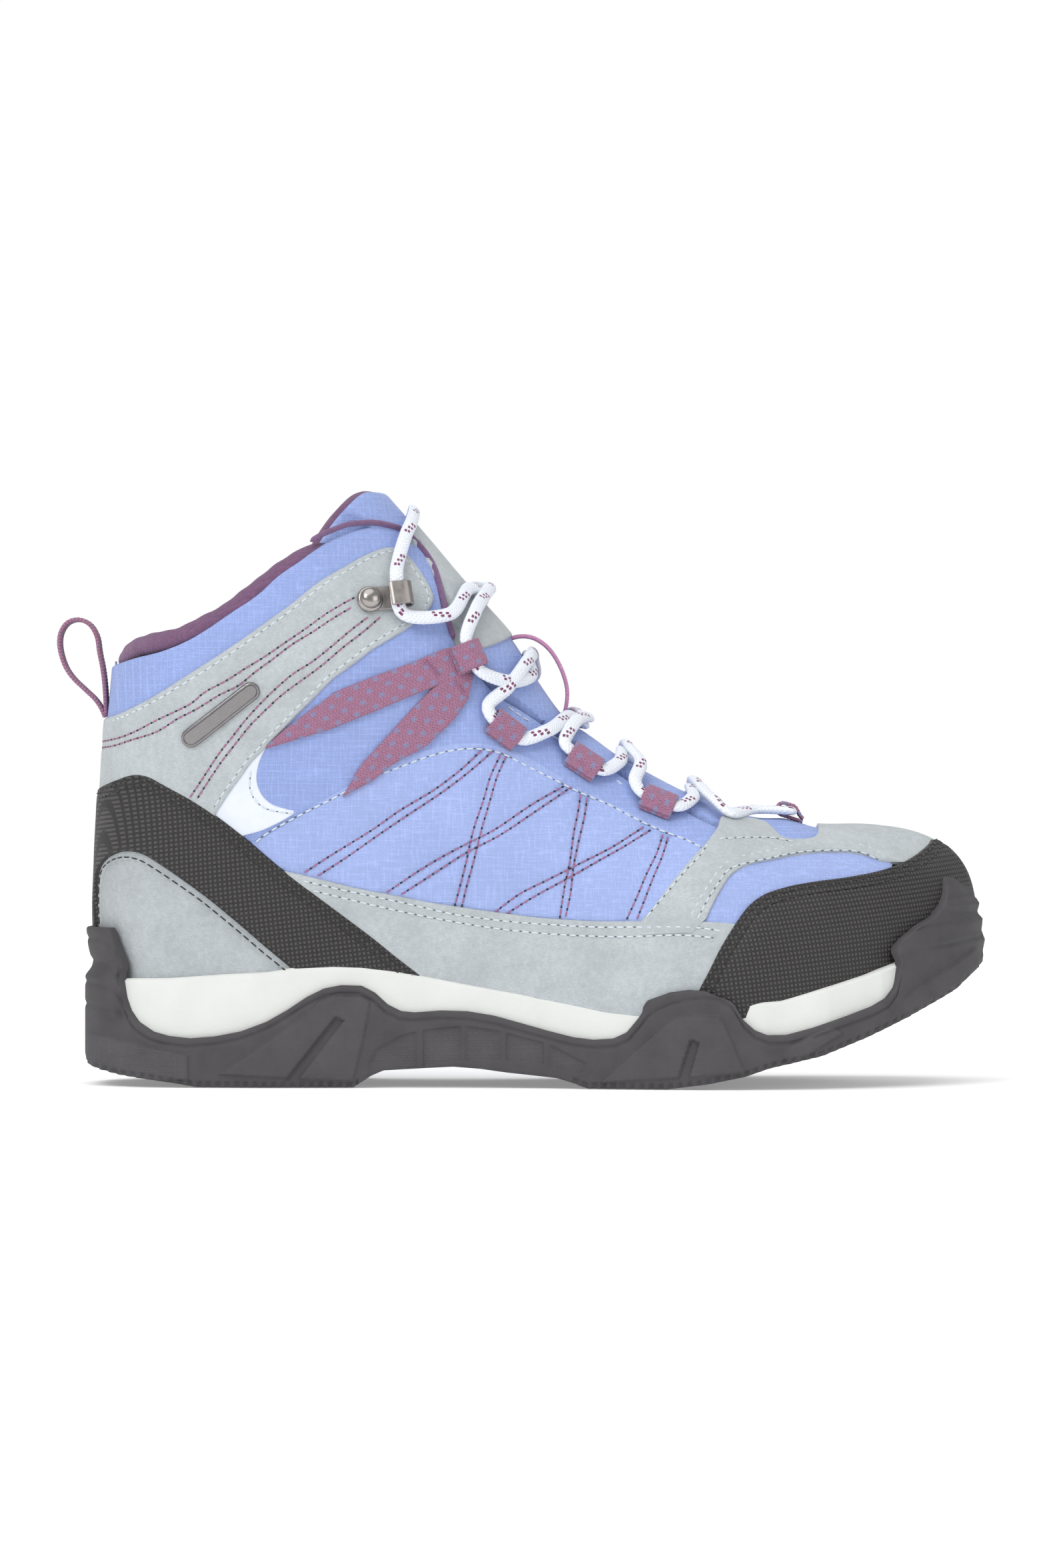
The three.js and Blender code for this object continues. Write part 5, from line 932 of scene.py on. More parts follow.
def sweep(P, N, sec, closed=False, attr=None, taper=None):
    """a closed section swept along P; sec is a list of (across, out) in mm or a function of the arc length"""
    P, N = np.asarray(P, float), np.asarray(N, float)
    if closed:
        T = np.roll(P, -1, 0) - np.roll(P, 1, 0)
    else:
        T = np.gradient(P, axis=0)
    T = unit(T)
    N = unit(N - T * (N * T).sum(1)[:, None])
    B = np.cross(T, N)
    s = np.concatenate([[0], np.cumsum(np.linalg.norm(np.diff(P, axis=0), axis=1))])
    V, A = [], []
    for i in range(len(P)):
        q = np.asarray(sec(s[i], s[-1]) if callable(sec) else sec, float)
        V.append(P[i] + B[i] * q[:, :1] + N[i] * q[:, 1:2])
        A.append(np.stack([np.full(len(q), s[i]), q[:, 0], q[:, 1]], 1))
    n, m = len(P), len(V[0])
    V, A = np.concatenate(V), np.concatenate(A)
    F = grid_faces(n, m, closed, True, True)
    if not closed:
        F += [list(range(m)), [(n - 1) * m + k for k in range(m)][::-1]]
    return V, F, A
def strap_section(w, t, relief=0.0, rib=1.1, r=None, n_top=15):
    """webbing section: width w, thickness t, rounded edges, ribs across it"""
    r = r or t / 2
    def f(s, L):
        xs = np.linspace(-w / 2 + r, w / 2 - r, n_top)
        e = relief * math.cos(2 * math.pi * s / rib)
        ribs = relief * np.cos(2 * math.pi * xs / 1.25)
        th = np.linspace(math.pi / 2, -math.pi / 2, 5)[1:-1]
        top = [(x, t / 2 + a + e) for x, a in zip(xs, ribs)]
        rt = [(w / 2 - r + r * math.cos(a), r * math.sin(a)) for a in th]
        bot = [(x, -t / 2 - a) for x, a in zip(xs[::-1], ribs[::-1])]
        lf = [(-w / 2 + r - r * math.cos(a), -r * math.sin(a)) for a in th]
        return top + rt + bot + lf
    return f
def tubes(P, N, w, t, sides=20, braid=0.0):
    th = 2 * math.pi * (np.arange(sides) + 0.5) / sides
    def f(s, L):
        q = 1 + braid * (np.cos(2 * math.pi * s / 1.15 + 3 * th) * np.cos(2 * math.pi * s / 1.15 - 3 * th))
        e = min(1.0, math.sqrt(max(0.02, min(s, L - s) / 1.2)))
        return np.stack([np.cos(th) * w / 2 * q * e, np.sin(th) * t / 2 * q * e], 1)
    return sweep(P, N, f)
def capsules(P, Q, Nn, r, sides=7):
    """thread stitches from P to Q, lying on the face with their ends sinking in"""
    V, F, A, n = [], [], [], 0
    th = 2 * math.pi * np.arange(sides) / sides
    for p, q, nn in zip(P, Q, Nn):
        d = q - p
        L = np.linalg.norm(d)
        if L < 0.2:
            continue
        t = d / L
        b = np.cross(t, nn)
        rings = ((0.0, -0.35, 0.35), (0.10, 0.05, 0.85), (0.3, 0.22, 1.0), (0.7, 0.22, 1.0), (0.90, 0.05, 0.85), (1.0, -0.35, 0.35))
        for f, h, k in rings:
            c = p + d * f + nn * h * r
            V.append(c + np.outer(np.cos(th) * r * k, b) + np.outer(np.sin(th) * r * k * 0.85, nn))
            A.append(np.tile([f * L, 0, 0], (sides, 1)))
        for i in range(len(rings) - 1):
            for j in range(sides):
                a0, a1 = n + i * sides + j, n + i * sides + (j + 1) % sides
                F.append([a0, a1, a1 + sides, a0 + sides])
        F.append([n + j for j in range(sides)][::-1])
        F.append([n + (len(rings) - 1) * sides + j for j in range(sides)])
        n += len(rings) * sides
    return (np.concatenate(V), F, np.concatenate(A)) if V else (np.zeros((0, 3)), [], np.zeros((0, 3)))
def stitch_row(line, sides, off, length, gap, r, start=0.0, smoothed=True):
    """stitches along a line seen from the side; off is how far out the thread lies"""
    P2 = resample(crom(line, 8) if smoothed else line, 0.25)
    out = []
    for sd in sides:
        u, c = uc_of(P2[:, 0], P2[:, 1])
        o = off(u, c, P2[:, 0], P2[:, 1]) if callable(off) else off
        P, N = at(u, c, sd, o)
        s = np.concatenate([[0], np.cumsum(np.linalg.norm(np.diff(P, axis=0), axis=1))])
        k = np.arange(start, s[-1] - length * 0.6, length + gap)
        g = lambda X, t: np.stack([np.interp(t, s, X[:, i]) for i in range(3)], 1)
        out.append(capsules(g(P, k), g(P, np.minimum(k + length, s[-1])), unit(g(N, k + length / 2)), r))
    return join(out)

# ------------------------------------------------------------------ lining, collar and tongue
l_segs = [("e", [(-29.6, 133.4)] + LIN_TOP[1:]), ("h", [LIN_TOP[-1]] + [(x - 1.5, z - 1.8) for x, z in THROAT[1:-1]]), ("h", [(156.4, 84.5), (158.6, 90.2)]), ("r", (ridge_u(158.6, 90.0), 24.0)), ("u", (24.0, 0.0, 1.0)), ("c", (24.0, 8.0)), ("b", (8.0, rear_u(-29.7, 133.2)))]
hp = half_panel(l_segs, h=3.0, hb=2.0, rings=())
V, F, A = build(hp, BOTH, lambda u, c, d, x, z, s: lin_off(u, c, x, z) - 0.05, lambda u, c, d, x, z, s: lin_off(u, c, x, z) - 0.95)
mesh("lining_shell", V, F, "purple_lining", "upper", rep=("lining",))

# padded collar roll around the top line
lt = resample(crom([(-30.1, 134.4)] + [p for p in LIN_TOP if p[0] > -28], 8), 1.5)
cr_u, cr_c = uc_of(lt[:, 0], lt[:, 1] - 3.2)
cr_c[0] = 1.0
halves = []
for sd in (-1, 1):
    x, z = lt[:, 0], lt[:, 1] - 3.2
    P, N = at(cr_u, cr_c, sd, -3.7)
    halves.append((P, N))
P = np.concatenate([halves[0][0][::-1], halves[1][0][1:]])
N = np.concatenate([halves[0][1][::-1], halves[1][1][1:]])
for _ in range(3):
    N = unit(np.concatenate([N[:1], (N[:-2] + 2 * N[1:-1] + N[2:]) / 4, N[-1:]]))
    P = np.concatenate([P[:1], (P[:-2] + 2 * P[1:-1] + P[2:]) / 4, P[-1:]])
th = 2 * math.pi * np.arange(24) / 24
def roll_sec(s, L):
    e = sm(min(s, L - s) / 7) * 0.85 + 0.15
    wv = 1 + 0.035 * math.sin(s * 0.42) + 0.03 * math.sin(s * 0.93 + 1)
    return np.stack([np.cos(th) * 3.35 * e * wv, np.sin(th) * 3.0 * e * wv], 1)
P1, N1 = resample(P, 1.2, N)
V, F, A = sweep(P1, unit(N1), roll_sec)
o = mesh("collar_roll", V, F, "purple_lining", "upper", rep=("collar_foam",))

def open_of(u, c):
    """how far the tongue surfaces into the open throat: 1 in the middle, 0 under the quarters"""
    w = w_of(u, c)
    th_d = np.interp(u, TD_U, TD_W)
    we = np.where(u > 17, 6.0, np.where(u < 2, 14.5, th_d))
    o = sm((we * 0.92 + 0.2 - w) / (we * 0.2))
    return np.where(u >= 15, o * sm((18.2 - u) / 2.6), o)
tp = resample(THROAT, 0.5)
tu, tc = uc_of(tp[:, 0], tp[:, 1])
tw = w_of(tu, tc)
TD_U = np.arange(0, 26)
TD_W = np.array([tw[np.argmin(np.abs(tu - k))] if np.abs(tu - k).min() < 0.3 else 12.0 for k in TD_U])
def tongue_off(u, c, x, z):
    return lerp(lin_off(u, c, x, z) - 0.9 - 0.45, -0.35, open_of(u, c))
tl_segs = [("e", TONGUE_TOP)]
top_u = ridge_u(*TONGUE_TOP[-1])
tl_segs += [("r", (top_u, ridge_u(176.5, 83.0)))]
tl_segs += [("h", [(175.6, 82.0), (172.8, 79.2), (170, 76.0)] + TONGUE_LOW)]
hp = half_panel(tl_segs, h=2.2, hb=1.3, rings=(0.5, 1.3, 2.3))
def pad_top(u, c, d, x, z, s):
    return tongue_off(u, c, x, z) - 1.05 - 2.4 * (1 - prof(d, 3.6))
def pad_bot(u, c, d, x, z, s):
    t = 5.3 + 0.25 * waves(x, z, 91, 30)
    return tongue_off(u, c, x, z) - 1.15 - 2.4 * (1 - prof(d, 3.6)) - (t - 2.6 * (1 - prof(d, 3.6))) * (0.1 + 0.9 * prof(d, 3.2))
V, F, A = build(hp, BOTH, pad_top, pad_bot)
o = mesh("tongue_body", V, F, "purple_lining", "tongue", rep=("tongue_foam", "tongue_lining"))
# outer face of the tongue
tt = shift(TONGUE_TOP, -1.8) if True else TONGUE_TOP
tt = [p for p in tt]
to_segs = [("e", tt), ("r", (ridge_u(*tt[-1]), ridge_u(176.2, 82.4))), ("h", [(175.4, 81.4), (172.6, 78.6), (169.8, 75.8)] + [(x, z + 0.8) for x, z in TONGUE_LOW])]
hp = half_panel(to_segs, h=1.8, hb=1.2, rings=(0.4, 1.0, 1.8))
def to_top(u, c, d, x, z, s):
    return tongue_off(u, c, x, z) + 0.1 - 0.9 * (1 - prof(d, 1.8)) + 0.25 * waves(x, z, 93 + (s > 0), 24) * sm(d / 6) * open_of(u, c)
V, F, A = build(hp, BOTH, to_top, lambda u, c, d, x, z, s: tongue_off(u, c, x, z) - 1.05)
mesh("tongue_face", V, F, "blue_mesh", "tongue", rep=("tongue_outer",))
# grey patch at its upper front
pt = [(62.8, 176.2), (56, 166), (64, 150), (72, 138), (76, 133.5), (82, 134.6), (88, 136.4), (92.3, 138.4), (95, 140.2)]
tpatch = [("e", [(63.6, 175.6), (62.4, 172.5), (64.2, 165), (67.5, 156.5), (71.5, 147.5), (75.2, 139.5), (78.0, 134.9), (82, 134.6), (88, 136.4), (92.3, 138.4), (94.6, 139.9)]), ("r", (ridge_u(95, 140.4), ridge_u(63.6, 176.2)))]
hp = half_panel(tpatch, h=1.5, hb=1.0)
V, F, A = build(hp, BOTH, lambda u, c, d, x, z, s: np.maximum(tongue_off(u, c, x, z), -2.2) + 0.25 + 1.0 * (0.15 + 0.85 * prof(d, 0.8)) + 0.08 * waves(x, z, 95, 20), lambda u, c, d, x, z, s: tongue_off(u, c, x, z) - 0.3)
mesh("tongue_front_patch", V, F, "suede", "tongue", rep=("tongue_patch",))

# edge binding down the throat
for nm, sd in SIDES:
    line = px([(466,813),(484,802),(500,795),(520,787),(540,784),(560,783),(580,786),(600,792),(620,809),(635,826),(645,841),(652,856),(658,876),(662,891),(667,911),(672,931),(678,951),(681,958)])
    P2 = resample(crom(line, 8), 0.5)
    P, N = surf(P2[:, 0], P2[:, 1], sd, 0.1)
    V, F, A = tubes(P, N, 1.7, 2.4, 12)
    mesh("throat_binding_" + nm, V, F, "binding", "upper", rep=("edge_binding_" + nm,), attr=A)

# ------------------------------------------------------------------ webbing straps, loops, hook
def web_attr(V, F, A, a, b):
    d = unit(np.asarray(b, float) - np.asarray(a, float))
    s = (A[:, 0] - a[0]) * d[0] + (A[:, 1] - a[1]) * d[1]
    v = -(A[:, 0] - a[0]) * d[1] + (A[:, 1] - a[1]) * d[0]
    return np.stack([s, v, np.zeros(len(s))], 1)
HU, HL2 = half_panel([("E", STRAP_UP + [STRAP_UP[0]])], h=1.2), half_panel([("E", STRAP_LOW + [STRAP_LOW[0]])], h=1.2)
def edge_rel(a, b, w):
    d = unit(np.asarray(b, float) - np.asarray(a, float))
    def f(u, c, dd, x, z, sd):
        s = (x - a[0]) * d[0] + (z - a[1]) * d[1]
        return 1.15 + 1.0 * (0.12 + 0.88 * prof(dd, 0.8)) + 0.10 * np.cos(2 * math.pi * s / 1.5)
    return f
EYE, HOOKAT = (80.4, 132.4, (0.93, 0.36)), (50.1, 149.6, (0.95, 0.1))
LOOPS = [(91.5, 110.2, (0.5, 0.87)), (115.8, 99.4, (0.5, 0.87)), (139.3, 86.6, (0.45, 0.89))]
def hairpin(a, b, h, t, w, F, lift, relief=0.055):
    """a webbing loop: out along the face, round at the front and back, seen from its edge"""
    p, n, e1, e2 = F
    r = h / 2 - t / 2
    pts, nn = [], []
    for s in np.linspace(a, b - h / 2, 12):
        pts.append((s, t / 2)); nn.append((0, -1))
    for k in np.linspace(-math.pi / 2, math.pi / 2, 15)[1:-1]:
        pts.append((b - h / 2 + (r) * math.cos(k), h / 2 + r * math.sin(k))); nn.append((math.cos(k), math.sin(k)))
    for s in np.linspace(b - h / 2, a, 12):
        q = (s - a) / (b - h / 2 - a)
        pts.append((s, lerp(t * 1.5, h - t / 2, sm(q * 1.6)))); nn.append((0, 1))
    pts, nn = resample(np.array(pts), 0.3, np.array(nn))
    nn = unit(nn)
    o = p + n * lift
    P = o + pts[:, :1] * e2 + pts[:, 1:] * n
    N = nn[:, :1] * e2 + nn[:, 1:] * n
    return sweep(P, N, strap_section(w, t, relief, 1.1))
bars_p, bars_q, bars_n = [], [], []
def bartack(F, s, w, lift, rows=2):
    p, n, e1, e2 = F
    out = []
    for k in range(rows):
        a = p + n * lift + e2 * (s + k * 0.55)
        m = 9
        for j in range(m):
            y0, y1 = -w / 2 + w * j / m, -w / 2 + w * (j + 0.86) / m
            out.append((a + e1 * y0, a + e1 * y1, n))
    return out
tacks = []
for nm, sd in SIDES:
    E_F = frame_at(*EYE, sd)
    V1, F1, A1 = build(HU, (sd,), edge_rel((16, 106), (78, 134), 8), flat_bot(0.2))
    V2, F2, A2 = build(HL2, (sd,), edge_rel((42, 94), (82, 124), 8), flat_bot(0.2))
    A1 = web_attr(V1, F1, A1, (16, 108), (78, 134))
    A2 = web_attr(V2, F2, A2, (42, 96), (84, 124))
    eye = hairpin(-6.5, 3.4, 5.0, 1.1, 8.6, E_F, 1.9)
    V, F, A = join([(V1, F1, A1), (V2, F2, A2), eye])
    mesh("ghillie_" + nm, V, F, "webbing", "upper", rep=("ghillie_strap_" + nm,), attr=A)
    for k, (x, z, d) in enumerate(LOOPS):
        G = frame_at(x, z, d, sd)
        V, F, A = hairpin(-4.8, 3.8, 4.7, 0.95, 10.6, G, 0.75)
        mesh(f"lace_loop_{nm}_{k + 1}", V, F, "webbing", "upper", rep=(f"eyelet_loop_{nm}_{k + 1}",), attr=A)
        tacks += bartack(G, -3.4, 9.6, 2.35 + 0.2)
    # hook
    p, n, e1, e2 = frame_at(*HOOKAT, sd)
    o = p + n * 2.0
    def box_strip(pts, w, t=0.95, r=0.3):
        pts = resample(np.array(pts, float), 0.35)
        T = np.gradient(pts, axis=0)
        T = unit(T)
        nn = np.stack([-T[:, 1], T[:, 0]], 1)
        P = o + pts[:, :1] * e2 + pts[:, 1:] * n
        N = nn[:, :1] * e2 + nn[:, 1:] * n
        return lambda off: sweep(P + e1 * off, N, strap_section(w, t, 0, 1, r, 5))
    base = box_strip([(-0.8, 0.45), (10.6, 0.45), (11.6, 0.7), (12.3, 1.4), (12.5, 2.4), (12.5, 3.6), (12.2, 4.6), (11.4, 5.3), (10.2, 5.5), (6.4, 5.5), (5.7, 5.0)], 7.6)(0)
    lath = []
    pr = [(0, -0.4), (4.1, -0.4), (4.1, 0.25), (3.7, 0.85), (3.35, 1.05), (3.2, 1.5), (2.85, 2.2), (2.1, 2.75), (1.1, 3.05), (0.0, 3.15)]
    pr = crom(pr[1:-1], 3).tolist()
    pr = [(0.01, -0.4)] + pr + [(0.3, 3.12)]
    sd_n = 48
    th2 = 2 * math.pi * np.arange(sd_n) / sd_n
    Vr = np.concatenate([o + n * (h + 0.8) + np.outer(np.cos(th2) * r, e1) + np.outer(np.sin(th2) * r, e2) for r, h in pr])
    Fr = grid_faces(len(pr), sd_n, False, True, True) + [list(range(sd_n)), [(len(pr) - 1) * sd_n + k for k in range(sd_n)][::-1]]
    V, F, A = join([base])
    mesh("hook_bracket_" + nm, V, F, "pewter", "upper", rep=("hook_" + nm,))
    mesh("hook_rivet_" + nm, Vr, Fr, "pewter", "upper", rep=("rivet_" + nm,), sharp=50)
P, Q, Nn = [np.array(x) for x in zip(*tacks)]
V, F, A = capsules(P, Q, Nn, 0.27)
mesh("loop_bartacks", V, F, "thread_purple", "upper")

# badge: blank pill with a raised rim
bl = []
a, b = np.array(BADGE[0], float), np.array(BADGE[1], float)
an = math.atan2(b[1] - a[1], b[0] - a[0])
ring = [b + BADGE_R * np.array([math.cos(an - math.pi / 2 + math.pi * k / 20), math.sin(an - math.pi / 2 + math.pi * k / 20)]) for k in range(21)]
ring += [a + BADGE_R * np.array([math.cos(an + math.pi / 2 + math.pi * k / 20), math.sin(an + math.pi / 2 + math.pi * k / 20)]) for k in range(21)]
ring = [tuple(p) for p in ring]
hpB = half_panel([("e", ring + [ring[0]])], h=0.8, hb=0.5, rings=(0.2, 0.5, 0.8, 1.1, 1.5))
def badge_top(u, c, d, x, z, sd):
    return 1.6 + 1.25 * (0.1 + 0.9 * prof(d, 0.5)) - 0.45 * sm((d - 0.75) / 0.35)
V, F, A = build(hpB, (-1,), badge_top, flat_bot(1.0))
mesh("badge_pill", V, F, "badge_metal", "upper", rep=("badge_plate",))

# toe loop across the front of the throat
e2, n = np.array([-0.955, 0, 0.297]), np.array([0.297, 0, 0.955])
V, F, A = hairpin(-5.4, 3.8, 4.9, 1.0, 10.2, (np.array([180.2, float(yc(180)), 82.9]), n, np.cross(n, e2), e2), 0.0)
mesh("toe_lace_loop", V, F, "webbing", "upper", rep=("toe_loop",), attr=A)
# lace keeper on the tongue
kc = [(89.2, 133.4), (90.4, 135.8), (94.2, 139.2), (100.0, 139.6), (105.2, 136.6), (109.4, 130.4), (111.6, 123), (111.0, 116.6), (109.8, 113.6)]
kp = resample(crom(kc, 8), 0.35)
kP = np.stack([kp[:, 0], yc(kp[:, 0]) + 0.5, kp[:, 1]], 1)
kT = np.gradient(kP, axis=0)
kN = unit(np.cross(kT, np.array([0, 1, 0])))
V, F, A = sweep(kP, kN, strap_section(10.0, 1.1, 0.05, 1.0))
mesh("keeper_strap", V, F, "keeper_web", "tongue", rep=("tongue_keeper",), attr=A)
# pull loop at the back
pc = [(-33.2, 114.6), (-34.2, 117), (-36.2, 120), (-39.1, 122.8), (-43.3, 126.9), (-45.7, 130.6), (-47.4, 136.8), (-47, 140.9), (-44.9, 144), (-41.6, 145), (-38.1, 143.6), (-35.8, 139.9), (-34.9, 134.7), (-33.9, 129.6), (-33.2, 123.6), (-32.9, 117.8), (-32.8, 115)]
pp = resample(crom(pc, 8), 0.35)
pP = np.stack([pp[:, 0], np.zeros(len(pp)), pp[:, 1]], 1)
pN = unit(np.cross(np.gradient(pP, axis=0), np.array([0, 1, 0])))
V, F, A = sweep(pP, pN, strap_section(12.0, 1.25, 0.06, 1.1))
mesh("heel_pull_loop", V, F, "webbing", "loop", rep=("pull_loop",), attr=A)
# line of the seam tape the pull loop hinges on; only its points are computed, no mesh is built
tb = resample(np.array([(-33.9, 112.5), (-34.2, 118.6), (-33.2, 119.6)]), 0.4)

# ------------------------------------------------------------------ lace
CROSS = [([(169.5, 82.8), (161.0, 82.2), (155.4, 86.0)], (149.8, 91.2), [(149.9, 87.6)]),
         ([(131.6, 92.2), (132.8, 97.4)], (128.0, 102.7), [(126.6, 98.8)]),
         ([(109.4, 104.6), (112.6, 110.6)], (115.6, 117.4), [(111.2, 113.4), (103.8, 108.4)]),
         ([(85.8, 117.0), (91.2, 122.4)], (98.2, 132.2), [(99.2, 127.0), (91.4, 124.4)]),
         ([(80.4, 144.6), (83.4, 150.8)], (83.4, 157.4), [(79.0, 152.6), (72.6, 143.8)])]
def ridge_n(x):
    f = lambda X: float(np.interp(X, ST[:, 0][::1], ST[:, 1])) if np.all(np.diff(ST[:, 0]) > 0) else None
    xs, zs = ST[:, 0], ST[:, 1]
    def g(X):
        for i in range(NST - 1):
            if xs[i] <= X <= xs[i + 1]:
                return lerp(zs[i], zs[i + 1], (X - xs[i]) / (xs[i + 1] - xs[i]))
        return 80.0
    d = (g(x + 2) - g(x - 2)) / 4
    return g(x), unit(np.array([-d, 0, 1.0]))
def lace_half(s, hi):
    P, N = [], []
    def on(x, z, side, h):
        (p,), (n,) = surf(x, z, side)
        P.append(p + n * h); N.append(n)
    side = s
    for k, (up, top_p, down) in enumerate(CROSS):
        top = (k % 2 == 0) == hi
        over = (3.35 if top else 1.25) if k == 3 else (5.6 if top else 3.0) if k == 4 else (4.3 if top else 1.7)
        for m, (x, z) in enumerate(up):
            on(x, z, side, lerp(2.6, over, 0.6) if m == len(up) - 1 else 4.4 if k == 4 else 2.9)
        rz, rn = ridge_n(top_p[0])
        mid = lambda q: (lerp(top_p[0], q[0], 0.22), lerp(rz, q[1], 0.22))
        on(*mid(up[-1]), side, lerp(2.8, over, 0.85))
        P.append(np.array([top_p[0], float(yc(top_p[0])), rz]) + rn * over); N.append(rn)
        side = -side
        on(*mid(down[0]), side, lerp(2.8, over, 0.85))
        for m, (x, z) in enumerate(down):
            on(x, z, side, lerp(2.6, over, 0.6) if m == 0 else 4.4 if k == 4 else 3.4 if k == 2 else 2.9)
        (pl, h2, e, h) = (LOOPS[2 - k], 5.7, 0, 3.05) if k < 3 else (EYE, 4.9, -0.6, 4.45) if k == 3 else (HOOKAT, 5.8, 9.0, 4.65)
        p, n, e1, e2 = frame_at(*pl, side)
        front = 1 if e1[0] + (-3 * e1[2] if k == 4 else 0) > 0 else -1
        for q in ((1, -1) if k == 4 else (1, 0, -1)):
            P.append(p + e1 * q * front * h2 + e2 * e + n * h); N.append(n)
    return P, N, side
PA, NA, sA = lace_half(-1, True)
PB, NB, sB = lace_half(1, False)
def lace_end(P, N, s, cross):
    def on(x, z, side, h):
        (p,), (n,) = surf(x, z, side)
        P.append(p + n * h); N.append(n)
    raw = lambda x, y, z, n: (P.append(np.array([x, y, z], float)), N.append(unit(np.array(n, float))))
    on(57.4, 160.4, s, 4.0)
    if cross:
        on(59.3, 168.4, s, 3.4); on(60.9, 173.2, s, 3.2)
        rz, rn = ridge_n(61.3)
        P.append(np.array([61.3, float(yc(61)), rz]) + rn * 2.9); N.append(rn)
        on(58.6, 173.6, 1, 2.8); on(53.6, 173.4, 1, 1.2); raw(46.5, 25.8, 177.2, [0, 0.7, 0.7])
        raw(40.0, 24.2, 173.6, [-0.3, 0.6, 0.8]); raw(34.0, 20.5, 168.2, [-0.8, 0.3, 0.5])
        raw(27.5, 18.8, 157, [-0.9, 0.3, 0.1]); raw(20.0, 18.8, 143, [-0.5, 0.8, 0]); raw(14.0, 19.2, 127, [0, 1, 0]); raw(12.0, 19.4, 110, [0, 1, 0])
    else:
        on(57.2, 167.0, 1, 3.2); on(51.5, 172.2, 1, 2.2)
        raw(43.5, 29.0, 173.8, [0, 0.8, 0.6]); raw(36.5, 27.0, 170.6, [-0.4, 0.6, 0.7])
        raw(30.0, 23.6, 163.5, [-0.8, 0.5, 0.2]); raw(23.0, 23.0, 151, [-0.2, 1, 0]); raw(15.0, 23.2, 133, [0, 1, 0]); raw(11.0, 23.2, 112, [0, 1, 0])
lace_end(PA, NA, sA, False)
lace_end(PB, NB, sB, True)
nt = np.array([0.297, 0, 0.955])
route = PB[::-1] + [np.array([181.0, float(yc(180)) + d, 85.2]) for d in (7.4, 0, -7.4)] + PA
rn = NB[::-1] + [nt] * 3 + NA
route, rn = np.array(route), np.array(rn)
knots = np.concatenate([[0], np.cumsum(np.linalg.norm(np.diff(route, axis=0), axis=1) ** 0.5)])
dense = crom(route[1:-1], 24)
dn = np.concatenate([np.repeat(rn[1:-2], 24, 0) * (1 - np.tile(np.arange(24) / 24, len(rn) - 3))[:, None] + np.repeat(rn[2:-1], 24, 0) * np.tile(np.arange(24) / 24, len(rn) - 3)[:, None], rn[-2:-1]])
LP, LN = resample(dense, 0.42, dn)
LACE_LEN = float(np.linalg.norm(np.diff(LP, axis=0), axis=1).sum())
for _ in range(6):
    LN = unit(np.concatenate([LN[:1], (LN[:-2] + 2 * LN[1:-1] + LN[2:]) / 4, LN[-1:]]))
V, F, A = tubes(LP, LN, 4.3, 2.75, 18, 0.035)
mesh("lace_cord", V, F, "lace_yarn", "upper", rep=("lace",), attr=A)
for k, (a, b) in enumerate(((route[-2], route[-1]), (route[1], route[0]))):
    d = unit(b - a)
    ap = np.array([a + d * (0.3 + s) for s in np.linspace(0, 17, 20)])
    V, F, A = tubes(ap, np.tile([0, 1.0, 0], (20, 1)), 2.7, 2.5, 16)
    mesh(f"lace_tip_{k + 1}", V, F, "aglet_film", "upper", rep=(f"aglet_{k + 1}",))

# ------------------------------------------------------------------ stitching
def rows_mesh(name, lines, sides, off, length, gap, r, mat, starts=None, body="upper", smoothed=True):
    V, F, A = join([stitch_row(l, sides, off, length, gap, r, (starts[i] if starts else 0.0), smoothed) for i, l in enumerate(lines)])
    return mesh(name, V, F, mat, body)
def alternate(name, lines, sides, off, dark="stitch_gap_shade", lit="thread_purple"):
    rows_mesh(name + "_a", lines, sides, off, 1.75, 1.35, 0.28, lit)
    # second row: short dark capsules in the stitch gaps, painted shade of the needle holes
    rows_mesh(name + "_b", lines, sides, off, 1.05, 2.05, 0.27, dark, [1.9] * len(lines))
alternate("quilt_side", Z_ROWS, BOTH, 0.66)
alternate("quilt_ankle", L_ROWS, BOTH, 1.36)
def edge_row(name, lines, off, r=0.27, smoothed=True):
    rows_mesh(name + "_a", lines, BOTH, off, 1.9, 1.1, r, "thread_light", smoothed=smoothed)
    # second row: grey capsules in the stitch gaps, painted shade of the needle holes
    rows_mesh(name + "_b", lines, BOTH, off - 0.1, 0.75, 2.25, r * 0.8, "needle_hole_shade", [2.07] * len(lines), smoothed=smoothed)
edge_row("edge_stitch_side", [SIDE_STITCH], 0.72)
an_t, an_b = shift(ANKLE_TOP[1:], -1.7), shift(ANKLE_BOT, -1.7)
edge_row("edge_stitch_ankle", [an_t, an_b], 1.55, 0.24)
edge_row("edge_stitch_mudguard", MUD_ROWS, 1.33)
edge_row("edge_stitch_toe", TOE_ROWS + [shift(TOE_ROWS[0], 2.2)], 1.32)
edge_row("edge_stitch_accent", [px([(378,1155),(376,1180),(383,1198),(400,1212),(440,1220)])], 1.0, 0.22)
rows_mesh("edge_stitch_cap", C_ROWS, BOTH, 2.22, 2.3, 0.8, 0.25, "thread_black")
rows_mesh("edge_stitch_frame", F_ROWS, BOTH, 2.12, 2.3, 0.8, 0.25, "thread_black")
rows_mesh("throat_stitch", [px(l) for l in ([(762,1060),(780,1073),(800,1085)], [(828,1103),(840,1110)], [(868,1135),(890,1148)], [(925,1170),(935,1178)])], BOTH, 0.15, 2.2, 0.8, 0.24, "thread_light", smoothed=False)
rows_mesh("strap_bartacks", [px(l) for l in ([(633,992),(644,1004),(655,1015)], [(636,989),(647,1001),(658,1012)], [(675,1023),(685,1034),(695,1045)], [(678,1020),(688,1031),(698,1042)])], BOTH, 2.25, 0.85, 0.15, 0.26, "thread_purple", smoothed=False)

